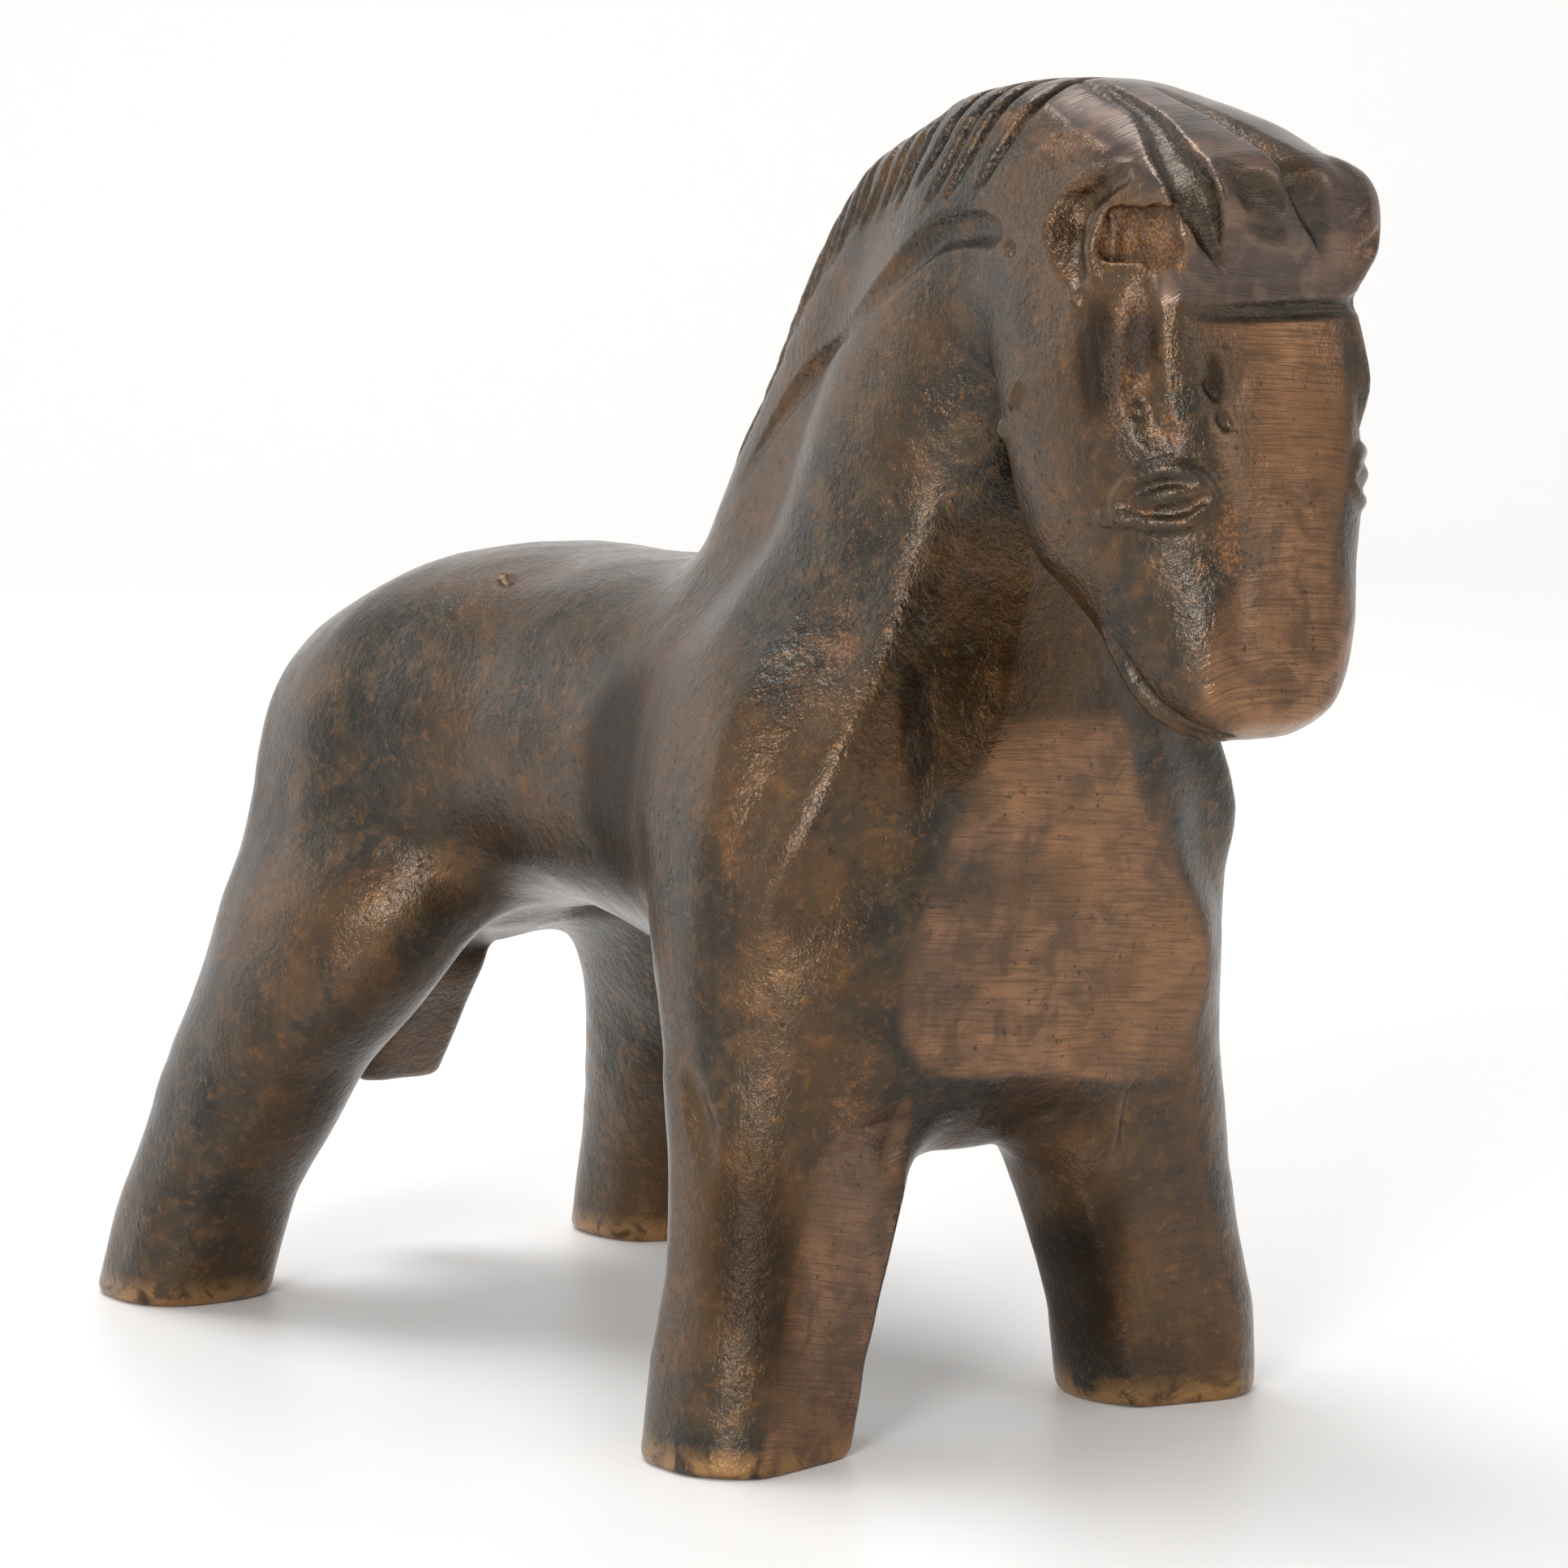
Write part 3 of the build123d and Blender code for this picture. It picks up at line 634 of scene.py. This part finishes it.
def triangles(quads, verts):
    """Each quad split along its shorter diagonal."""
    a, b, c, d = quads.T
    short = np.linalg.norm(verts[a] - verts[c], axis=1) <= np.linalg.norm(verts[b] - verts[d], axis=1)
    first = np.where(short[:, None], np.stack([a, b, c], 1), np.stack([a, b, d], 1))
    second = np.where(short[:, None], np.stack([a, c, d], 1), np.stack([b, c, d], 1))
    return np.concatenate([first, second])


def point_normals(verts, tris):
    """The mean way that the triangles at each point face, weighted by their area."""
    p = verts[tris]
    n = np.cross(p[:, 1] - p[:, 0], p[:, 2] - p[:, 0])
    out = np.stack([np.bincount(tris.ravel(), np.repeat(n[:, i], 3), len(verts)) for i in range(3)], 1)
    return out / (np.linalg.norm(out, axis=1)[:, None] + 1e-12)


class Piece:
    """A closed triangle mesh with a value of each named kind at every point."""

    def __init__(self, verts, tris, data):
        self.verts, self.tris, self.data = verts, tris, data

    def split(self, cut):
        """Two closed pieces either side of cut(points) = 0, the positive one first."""
        f = cut(self.verts)
        f = np.where(np.abs(f) < 1e-4, 1e-4, f)
        tris = self.tris
        pos = f[tris] > 0
        mixed = pos.any(1) & ~pos.all(1)
        t = tris[mixed]
        odd = pos[mixed]
        lone = np.where(odd.sum(1) == 1, odd.argmax(1), (~odd).argmax(1))
        r = np.arange(len(t))
        a, b, c = t[r, lone], t[r, (lone + 1) % 3], t[r, (lone + 2) % 3]
        edges = np.concatenate([np.stack([a, b], 1), np.stack([a, c], 1)])
        key = np.sort(edges, 1)
        uniq, inverse = np.unique(key, axis=0, return_inverse=True)
        inverse = inverse.ravel()
        w = (f[uniq[:, 0]] / (f[uniq[:, 0]] - f[uniq[:, 1]]))[:, None]
        new = len(self.verts) + inverse
        ab, ac = new[:len(t)], new[len(t):]
        mix = lambda x: np.concatenate([x, x[uniq[:, 0]] * (1 - w) + x[uniq[:, 1]] * w])
        verts = mix(self.verts)
        data = {k: mix(v) for k, v in self.data.items()}
        tip = np.stack([a, ab, ac], 1)
        rest = np.concatenate([np.stack([ab, b, c], 1), np.stack([ab, c, ac], 1)])
        tip_pos = f[a] > 0
        rest_pos = np.concatenate([~tip_pos, ~tip_pos])
        whole = tris[~mixed]
        whole_pos = pos[~mixed].all(1)
        sides = []
        cut_edges = np.where(tip_pos[:, None], np.stack([ac, ab], 1), np.stack([ab, ac], 1))
        cap_verts, cap_tris = cap_faces(verts, cut_edges)
        verts = np.concatenate([verts, cap_verts])
        data = {k: np.concatenate([v, np.zeros((len(cap_verts), v.shape[1]))]) for k, v in data.items()}
        for want in (True, False):
            faces = np.concatenate([whole[whole_pos == want], tip[tip_pos == want],
                                    rest[rest_pos == want],
                                    cap_tris if want else cap_tris[:, ::-1]])
            used, faces = np.unique(faces, return_inverse=True)
            sides.append(Piece(verts[used], faces.reshape(-1, 3), {k: v[used] for k, v in data.items()}))
        return sides


def step_on(follow, at):
    """The next point of a loop, taken off the table of steps."""
    onward = follow[at].pop()
    if not follow[at]:
        del follow[at]
    return onward


def cap_faces(verts, edges):
    """Fans that close the cut loops, wound for the positive side."""
    follow = {}
    for leave, reach in edges.tolist():
        follow.setdefault(leave, []).append(reach)
    centres, faces = [], []
    while follow:
        start = next(iter(follow))
        loop, at = [start], step_on(follow, start)
        while at != start:
            loop.append(at)
            at = step_on(follow, at)
        ring = np.array(loop)
        middle = len(verts) + len(centres)
        centres.append(verts[ring].mean(0))
        faces.append(np.stack([ring, np.roll(ring, -1), np.full(len(ring), middle)], 1))
    if not faces:
        return np.zeros((0, 3)), np.zeros((0, 3), int)
    return np.array(centres), np.concatenate(faces)


verts, quads = skin()
tris = triangles(quads, verts)

# Warm rust-coloured patches: centre and radii.
RUSTY = [
    ((-9.3, -55.5, 89.2), (3.0, 4.0, 2.6)), ((-10.2, -54.6, 81.5), (2.2, 2.4, 6.5)),
    ((-9.0, -57.4, 76.0), (2.4, 2.6, 3.0)), ((-5.4, -59.6, 68.0), (1.3, 2.5, 6.0)),
    ((-8.0, -45.0, 95.8), (2.6, 5.5, 2.2)), ((-6.4, -37.5, 97.4), (2.2, 5.0, 1.8)),
    ((-10.2, -49.0, 93.0), (2.0, 3.0, 3.2)), ((-7.2, -57.8, 90.6), (2.0, 2.0, 2.0)),
    ((-11.5, -37.5, 74.0), (2.5, 3.0, 6.0)), ((-21.0, 43.0, 27.0), (7.0, 4.0, 9.0)),
    ((-14.0, -28.0, 57.0), (2.8, 3.0, 9.0)), ((-21.0, -25.0, 43.0), (3.5, 4.5, 8.0)),
    ((-19.0, 40.0, 42.0), (4.0, 7.0, 7.0)),
    ((-16.0, -31.5, 24.0), (3.0, 4.0, 10.0)), ((10.0, -57.0, 84.0), (4.0, 3.5, 4.0)),
    ((8.0, -58.0, 90.0), (3.0, 3.0, 5.0)),
]
# Painted shade: almost black patches, mostly where shade falls between and inside the legs, under the tail,
# behind the shoulder, in the recesses of the face and down the neck, and on the far side of the head; centre
# and radii.
SHADE_PATCHES = [
    ((10.5, -24.0, 12.0), (4.5, 8.5, 15.0)), ((-9.6, -55.0, 82.0), (1.8, 2.6, 4.0)),
    ((-5.6, -59.2, 80.0), (1.5, 2.5, 4.0)), ((-11.0, -52.6, 80.5), (2.0, 3.6, 7.0)),
    ((-22.0, -27.0, 14.0), (5.0, 6.0, 16.0)), ((-17.5, -3.0, 48.0), (5.0, 9.0, 16.0)),
    ((-11.5, -32.5, 52.0), (2.6, 2.6, 12.0)), ((12.0, -50.0, 70.0), (3.0, 8.0, 12.0)),
    ((-13.0, -20.0, 12.0), (4.0, 6.0, 16.0)), ((0.0, 48.0, 34.0), (9.0, 12.0, 12.0)),
    ((-7.5, -38.0, 66.0), (4.0, 4.0, 10.0)),
]
# Coarser casting skin: centre and radii.
ROUGH_SPOTS = [
    ((-9.5, -44.0, 90.0), (4.0, 8.0, 9.0)), ((-11.0, -36.0, 80.0), (4.0, 9.0, 12.0)),
    ((-9.0, -28.0, 92.0), (5.0, 12.0, 7.0)), ((-8.0, -12.0, 82.0), (6.0, 10.0, 10.0)),
    ((-14.0, -26.0, 62.0), (8.0, 12.0, 16.0)), ((9.0, -30.0, 88.0), (5.0, 20.0, 14.0)),
]


def masks(verts, normal):
    """Where the skin is filed bright, hollow, sharp, rusty, rough, worn or deeply tooled, and where shade is
    painted: in hollows and in the shade patches.
    """
    x, y, z = verts.T
    cap_side = np.interp(-y, [24.0, 32.0, 38.6, 45.0, 50.0, 53.0, 62.0], [1.5, 4.4, 5.9, 7.5, 8.5, 9.0, 9.6])
    cap = np.clip((cap_side - np.abs(x)) / 0.35, 0, 1) * np.clip((z - 84.6) / 0.4, 0, 1)
    cap *= np.clip((-24 - y) / 6, 0, 1) * (y < -20)
    face_y = np.interp(z, *face_line)
    muzzle = np.clip((67 - z) / 6, 0, 1)
    face = np.clip(1.5 - np.abs(y - face_y) / (0.4 + 1.6 * muzzle), 0, 1) * (z < 84.2) * (y < -50)
    face *= np.clip((7.2 + 1.5 * muzzle - np.abs(x)) / 1.5, 0, 1)
    spread = 0.3 + np.clip((z - 46) / 8, 0, 1)
    skin_cuts = [np.clip(1 - np.abs(c) / wide, 0, 1) for c, wide in zip(facets(verts), (spread, 0.3))]
    skin_cuts[0] *= np.clip((60.0 - z) / 8, 0, 1) * np.clip((z - 25.0) / 2, 0, 1)
    skin_cuts[1] *= np.clip((30.0 - z) / 3, 0, 1) * np.where(x < 0, 1.0, 0.4)
    wide = np.where(x < 0, 3.2 + 2 * muzzle, 6.0)
    face *= 0.35 + 0.65 * np.exp(-((x / wide) ** 2)) + 0.2 * muzzle
    filed = np.maximum(face, np.maximum(*skin_cuts) * 0.8)
    strokes_here = tooling(verts)
    filed *= np.clip(1 - np.abs(strokes_here) / 0.25, 0.1, 1)
    cap *= np.clip(1 - np.abs(strokes_here) / 0.4, 0.1, 1)
    in_pocket = np.clip(1 + pocket(verts) / 0.35, 0, 1)
    cap *= 1 - in_pocket
    gouged = np.zeros(len(verts))
    for name, stroke in strokes.items():
        if name.startswith(("gouge", "notch", "brow")):
            near, depth = stroke.bump(verts)
            least = 0.7 if name == "gouge_2" else 0.1
            gouged[near] = np.maximum(gouged[near], np.clip((depth - least) / 0.35, 0, 1))
    # painted shade: near 1 where the skin is hollow and up to 0.8 in the shade patches; it darkens the
    # colour, thins the coat, roughens and lets rust spread
    hollow_shade = np.clip(1 - field(verts + 1.3 * normal) / 1.3, 0, 1)
    for centre, radii in SHADE_PATCHES:
        hollow_shade = np.maximum(hollow_shade, 0.8 * ball_mask(verts, centre, radii, 0.6))
    sharp = 1 + field(verts - 0.8 * normal) / 0.8
    rusty = np.zeros(len(verts))
    for centre, radii in RUSTY:
        rusty = np.maximum(rusty, ball_mask(verts, centre, radii, 0.7))
    rusty = np.maximum(rusty, 1.3 * in_pocket)
    rough = np.zeros(len(verts))
    for centre, radii in ROUGH_SPOTS:
        rough = np.maximum(rough, ball_mask(verts, centre, radii, 0.5))
    rough *= 1 - np.clip(np.maximum(filed, cap), 0, 1)
    worn = np.clip((2.6 - z) / 1.8, 0, 1)
    return {"filed": filed, "smooth": cap, "hollow_shade": hollow_shade, "sharp": np.clip(sharp, 0, 1),
            "rusty": rusty, "rough": rough, "worn": worn, "gouged": gouged}


normals = point_normals(verts, tris)
MASKS = masks(verts, normals)
horse = Piece(verts, tris, {"normal": normals, "masks": np.stack(list(MASKS.values()), 1)})


def side(way):
    """A cut down the middle, positive on one side of the horse."""
    return lambda p: way * p[:, 0]


def fold(loft, other, where):
    """A cut that is positive nearer to loft than to other, inside the given box."""
    def cut(p):
        m = mirrored(p)
        lo, hi = np.array(where).T
        box = (np.minimum(m - lo, hi - m)).min(1)
        return np.minimum(other(m) - loft(m), box)
    return cut


pieces = {}


def take(name, cut):
    """Cuts one piece off what is left of the horse."""
    global horse
    pieces[name], horse = horse.split(cut)


def pair(name, cut):
    """Cuts off a piece of each side."""
    global horse
    both, horse = horse.split(cut)
    pieces[name + "_left"], pieces[name + "_right"] = both.split(side(1))


fore_box = [(6, 40), (-40, 0), (-5, 36)]
hind_box = [(5, 40), (15, 70), (-5, 44)]
pair("foreleg", fold(foreleg_loft, trunk_loft, fore_box))
pair("hind_leg", fold(hind_leg_loft, trunk_loft, hind_box))
take("tail", lambda p: np.minimum(trunk_loft(p) - tail_loft(p), 31.0 - p[:, 2]))
take("forelock", lambda p: np.minimum(p[:, 2] - 86.3, -38.0 - p[:, 1]))
take("head", lambda p: np.minimum(-36.5 - p[:, 1], 88.0 - p[:, 2]))
take("neck", lambda p: p[:, 2] - 60.0 - 0.2 * (p[:, 1] + 20))
pieces["body"] = horse


# ---------------------------------------------------------------- material
class Nodes:
    """Short ways to wire a shader."""

    def __init__(self, name):
        self.mat = bpy.data.materials.new(name)
        self.mat.use_nodes = True
        self.tree = self.mat.node_tree
        self.tree.nodes.clear()

    def add(self, kind, _out=0, _set=(), **inputs):
        """A new node's output. An input is named i0, i1 and so on, or by name with _ for a space."""
        n = self.tree.nodes.new(kind)
        for key, value in _set:
            setattr(n, key, value)
        for key, value in inputs.items():
            by_number = key[0] == "i" and key[1:].isdigit()
            socket = n.inputs[int(key[1:]) if by_number else key.replace("_", " ")]
            if isinstance(value, bpy.types.NodeSocket):
                self.tree.links.new(value, socket)
            else:
                socket.default_value = value
        return n.outputs[_out]

    def math(self, how, a, b=0.0, clamp=False):
        return self.add("ShaderNodeMath", 0, (("operation", how), ("use_clamp", clamp)), i0=a, i1=b)

    def mask(self, name):
        return self.add("ShaderNodeAttribute", 2, (("attribute_name", name),))

    def noise(self, where, scale, detail=3.0, rough=0.55, warp=0.0):
        return self.add("ShaderNodeTexNoise", 0, (), Vector=where, Scale=scale, Detail=detail,
                        Roughness=rough, Distortion=warp)

    def span(self, value, low, high, a=0.0, b=1.0):
        """value taken from low..high to a..b, held at the ends."""
        return self.add("ShaderNodeMapRange", 0, (("clamp", True), ("interpolation_type", "SMOOTHSTEP")),
                        i0=value, i1=low, i2=high, i3=a, i4=b)

    def mix(self, amount, a, b):
        n = self.tree.nodes.new("ShaderNodeMix")
        n.data_type = "RGBA"
        for k, value in ((0, amount), (6, a), (7, b)):     # the factor and the two colours
            if isinstance(value, bpy.types.NodeSocket):
                self.tree.links.new(value, n.inputs[k])
            else:
                n.inputs[k].default_value = value if k == 0 else (*value, 1)
        return n.outputs[2]                                # the mixed colour

    def stretch(self, where, size):
        return self.add("ShaderNodeMapping", 0, (), Vector=where, Scale=size)

    def bump(self, height):
        """The normal that a height in mm gives."""
        return self.add("ShaderNodeBump", 0, (), Strength=1.0, Distance=MM, Height=height)


def bronze():
    """Dark patina over cast metal, with rust, filed copper, rubbed edges and painted shade in hollows. Works
    in mm.
    """
    w = Nodes("bronze")
    at = w.add("ShaderNodeTexCoord", 3)
    mm = w.stretch(at, (1000, 1000, 1000))
    filed, smooth, hollow_shade, sharp = w.mask("filed"), w.mask("smooth"), w.mask("hollow_shade"), w.mask("sharp")
    rusty, rough, worn, gouged = w.mask("rusty"), w.mask("rough"), w.mask("worn"), w.mask("gouged")
    broad = w.noise(mm, 0.07, 4.0, 0.55, 0.4)
    patch = w.noise(mm, 0.33, 5.0, 0.62, 0.6)
    fine = w.noise(mm, 1.5, 5.0, 0.65)
    grain = w.noise(mm, 4.5, 2.0, 0.6)
    freckle = w.noise(mm, 0.9, 5.0, 0.72, 0.3)
    upright = w.stretch(mm, (1.0, 1.0, 0.85))
    peel = w.noise(upright, 1.7, 3.0, 0.55)

    # filed lines run level: height on upright flats, length along the top of the head
    parts = w.tree.nodes.new("ShaderNodeSeparateXYZ")
    w.tree.links.new(mm, parts.inputs[0])
    x, y, z = parts.outputs
    climb = w.math("ADD", z, w.math("MULTIPLY", y, 0.8))
    tilt = w.math("ADD", climb, w.math("MULTIPLY", x, 0.05))
    lines_at = w.add("ShaderNodeCombineXYZ", 0, (), X=w.math("MULTIPLY", x, 0.16), Y=0.0,
                     Z=w.math("MULTIPLY", tilt, 4.2))
    lines = w.noise(lines_at, 1.0, 2.0, 0.8)

    # patina
    base = w.mix(w.span(broad, 0.38, 0.64), (0.018, 0.012, 0.007), (0.070, 0.035, 0.011))
    base = w.mix(w.span(patch, 0.48, 0.70, 0.0, 0.6), base, (0.130, 0.058, 0.014))
    base = w.mix(w.span(freckle, 0.53, 0.66, 0.0, 0.55), base, (0.165, 0.068, 0.014))
    base = w.mix(w.span(fine, 0.54, 0.72, 0.0, 0.5), base, (0.009, 0.008, 0.006))
    olive = w.math("MULTIPLY", w.span(broad, 0.60, 0.42), w.span(patch, 0.35, 0.6))
    base = w.mix(w.math("MULTIPLY", olive, 0.3), base, (0.050, 0.044, 0.028))
    # smooth brown top of the head
    brown = w.mix(w.span(patch, 0.40, 0.66), (0.070, 0.046, 0.034), (0.150, 0.092, 0.062))
    brown = w.mix(w.span(lines, 0.52, 0.70, 0.0, 0.35), brown, (0.020, 0.014, 0.010))
    base = w.mix(smooth, base, brown)
    # rust-coloured patches
    speck = w.math("ADD", w.math("MULTIPLY", patch, 0.5), w.math("MULTIPLY", fine, 0.7))
    reach = w.math("ADD", w.math("MULTIPLY", rusty, 0.26), w.math("MULTIPLY", hollow_shade, 0.08))
    rust = w.span(w.math("ADD", speck, reach), 0.68, 0.92)
    rust_tone = w.mix(w.span(grain, 0.42, 0.64), (0.065, 0.025, 0.006), (0.235, 0.092, 0.015))
    base = w.mix(w.math("MULTIPLY", rust, 0.85), base, rust_tone)
    # rubbed edges
    rub = w.math("MULTIPLY", w.span(sharp, 0.25, 0.60), w.span(patch, 0.38, 0.64), True)
    base = w.mix(w.math("MULTIPLY", rub, 0.5), base, (0.17, 0.092, 0.040))
    # filed flats
    copper = w.mix(w.span(patch, 0.36, 0.66), (0.290, 0.145, 0.070), (0.160, 0.082, 0.040))
    copper = w.mix(w.span(broad, 0.44, 0.62, 0.0, 0.5), copper, (0.310, 0.146, 0.058))
    copper = w.mix(w.span(lines, 0.44, 0.66, 0.0, 0.6), copper, (0.085, 0.044, 0.022))
    dark_patch = w.math("MULTIPLY", w.span(patch, 0.50, 0.60), w.span(broad, 0.58, 0.46))
    copper = w.mix(w.math("MULTIPLY", dark_patch, 0.3), copper, (0.060, 0.036, 0.020))
    copper = w.mix(w.span(fine, 0.60, 0.70, 0.0, 0.85), copper, (0.018, 0.012, 0.008))
    base = w.mix(w.span(filed, 0.0, 1.0, 0.0, 0.95), base, copper)
    # tooled grooves, worn feet, and painted shade that darkens hollows and the shade patches almost to black
    groove = w.mix(w.span(lines, 0.42, 0.62), (0.050, 0.032, 0.014), (0.016, 0.011, 0.007))
    base = w.mix(w.math("MULTIPLY", gouged, 0.9), base, groove)
    foot = w.math("MULTIPLY", worn, w.span(patch, 0.36, 0.52), True)
    base = w.mix(w.math("MULTIPLY", foot, 0.85), base, (0.34, 0.18, 0.062))
    base = w.mix(w.span(hollow_shade, 0.28, 0.80, 0.0, 0.8), base, (0.012, 0.007, 0.004))

    # relief, in mm
    bright = w.math("MAXIMUM", filed, smooth)
    plain = w.math("SUBTRACT", 1.0, w.math("MULTIPLY", bright, 0.92))
    height = w.math("MULTIPLY", peel, w.span(rough, 0.0, 1.0, 0.09, 0.22))
    height = w.math("ADD", height, w.math("MULTIPLY", grain, 0.045))
    height = w.math("ADD", height, w.math("MULTIPLY", freckle, 0.10))
    height = w.math("ADD", height, w.math("MULTIPLY", w.span(fine, 0.60, 0.72), -0.05))
    height = w.math("MULTIPLY", height, plain)
    marks = w.math("MULTIPLY", lines, w.math("MAXIMUM", bright, gouged))
    height = w.math("ADD", height, w.math("MULTIPLY", marks, 0.075))
    normal = w.bump(height)

    rougher = w.span(patch, 0.3, 0.7, 0.25, 0.36)
    rougher = w.math("ADD", rougher, w.math("MULTIPLY", rust, 0.14))
    rougher = w.math("ADD", rougher, w.math("MULTIPLY", hollow_shade, 0.12))
    shader = w.tree.nodes.new("ShaderNodeBsdfPrincipled")
    links = w.tree.links
    links.new(base, shader.inputs["Base Color"])
    metal = w.math("SUBTRACT", w.span(filed, 0.0, 1.0, 0.78, 0.95), w.math("MULTIPLY", rust, 0.35))
    links.new(metal, shader.inputs["Metallic"])
    links.new(w.span(hollow_shade, 0.15, 0.70, 0.45, 0.08), shader.inputs["Coat Weight"])
    shader.inputs["Coat Roughness"].default_value = 0.17
    links.new(normal, shader.inputs["Coat Normal"])
    links.new(rougher, shader.inputs["Roughness"])
    links.new(normal, shader.inputs["Normal"])
    out = w.tree.nodes.new("ShaderNodeOutputMaterial")
    links.new(shader.outputs[0], out.inputs["Surface"])
    return w.mat


skin_material = bronze()


def build(name, piece):
    """A mesh object of one piece, riding on the root body."""
    mesh = bpy.data.meshes.new(name)
    mesh.vertices.add(len(piece.verts))
    mesh.vertices.foreach_set("co", (piece.verts * MM).astype(np.float32).ravel())
    mesh.loops.add(piece.tris.size)
    mesh.loops.foreach_set("vertex_index", piece.tris.astype(np.int32).ravel())
    mesh.polygons.add(len(piece.tris))
    mesh.polygons.foreach_set("loop_start", np.arange(0, piece.tris.size, 3, dtype=np.int32))
    mesh.polygons.foreach_set("use_smooth", np.ones(len(piece.tris), bool))
    mesh.update()
    mesh.validate()
    n = piece.data["normal"]
    n = n / (np.linalg.norm(n, axis=1)[:, None] + 1e-9)
    mesh.normals_split_custom_set_from_vertices(n.astype(np.float32))
    for k, mask in enumerate(MASKS):
        layer = mesh.attributes.new(mask, "FLOAT", "POINT")
        layer.data.foreach_set("value", piece.data["masks"][:, k].astype(np.float32))
    mesh.materials.append(skin_material)
    obj = bpy.data.objects.new(name + "_skin", mesh)
    bpy.context.scene.collection.objects.link(obj)
    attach(obj, "root")
    return obj


stands_for = {"head": ("head", "eye_left", "eye_right"), "forelock": ("forelock", "ear_left", "ear_right"),
              "neck": ("neck", "mane")}
for name, piece in pieces.items():
    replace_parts(build(name, piece), *stands_for.get(name, (name,)))


# ---------------------------------------------------------------- camera, floor and light
def aim(obj, azimuth, down):
    """Points an object's -Z level with azimuth (0 looks along +Y) and down by an angle."""
    obj.rotation_euler = (math.radians(90 - down), 0, math.radians(azimuth))


CAMERA_TURN = -35.645      # degrees, from looking along +Y
camera_data = bpy.data.cameras.new("camera")
camera_data.lens = 116.02      # mm, as is the sensor
camera_data.sensor_width = 36
camera_data.clip_start = 0.01
camera_data.clip_end = 20
camera = bpy.data.objects.new("camera", camera_data)
camera.location = (-0.23008, -0.32109, 0.0881)
aim(camera, CAMERA_TURN, 6)
bpy.context.scene.collection.objects.link(camera)
bpy.context.scene.camera = camera


def sweep(name):
    """Floor that curves up into a backdrop, square to the camera."""
    turn = math.radians(CAMERA_TURN)
    out = np.array([-math.sin(turn), math.cos(turn)])
    across = np.array([out[1], -out[0]])
    start, bend_at, radius, top, steps = -2.0, 1.0, 0.8, 2.5, 24
    profile = [(start, 0.0)]
    for k in range(steps + 1):
        a = math.pi / 2 * k / steps
        profile.append((bend_at + radius * math.sin(a), radius * (1 - math.cos(a))))
    profile.append((bend_at + radius, top))
    points = [(*(out * d + across * side), z) for d, z in profile for side in (-3.0, 3.0)]
    faces = [(2 * k, 2 * k + 1, 2 * k + 3, 2 * k + 2) for k in range(len(profile) - 1)]
    mesh = bpy.data.meshes.new(name)
    mesh.from_pydata(points, [], faces)
    for face in mesh.polygons:
        face.use_smooth = True
    obj = bpy.data.objects.new(name, mesh)
    paper = bpy.data.materials.new("paper")
    paper.use_nodes = True
    shader = paper.node_tree.nodes["Principled BSDF"]
    shader.inputs["Base Color"].default_value = (0.80, 0.790, 0.782, 1)
    shader.inputs["Roughness"].default_value = 0.42
    shader.inputs["Specular IOR Level"].default_value = 0.35
    mesh.materials.append(paper)
    bpy.context.scene.collection.objects.link(obj)


sweep("floor")
world = bpy.data.worlds.new("studio")
bpy.context.scene.world = world
world.use_nodes = True
world.node_tree.nodes["Background"].inputs["Color"].default_value = (1.0, 0.995, 0.985, 1)
world.node_tree.nodes["Background"].inputs["Strength"].default_value = 0.56
bpy.context.scene.view_settings.view_transform = "Standard"


def soft_light(name, place, look_at, size, power):
    """A rectangular light at a place, turned to look at a point. Metres and watts."""
    data = bpy.data.lights.new(name, "AREA")
    data.shape = "RECTANGLE"
    data.size, data.size_y = size
    data.energy = power
    light = bpy.data.objects.new(name, data)
    light.location = place
    away = np.array(place) - np.array(look_at)
    lean = math.acos(away[2] / np.linalg.norm(away))
    light.rotation_euler = (lean, 0, math.atan2(away[1], away[0]) + math.pi / 2)
    bpy.context.scene.collection.objects.link(light)


HORSE = (0, 0, 0.05)       # the middle of the horse, in metres
soft_light("side", (-1.05, 0.15, 0.50), HORSE, (0.45, 0.8), 1.0)
soft_light("edge", (-0.95, -0.70, 0.42), HORSE, (0.28, 0.50), 9.0)
soft_light("left", (-0.85, 1.20, 0.55), HORSE, (1.1, 0.9), 4.0)
soft_light("front", (0.45, -1.15, 0.55), HORSE, (0.7, 0.7), 3.0)
soft_light("top", (-0.10, 0.30, 1.2), HORSE, (0.6, 0.6), 9)
soft_light("back", (0.55, 0.75, 1.1), (0.9, 1.25, 0.55), (2.4, 0.5), 7.0)
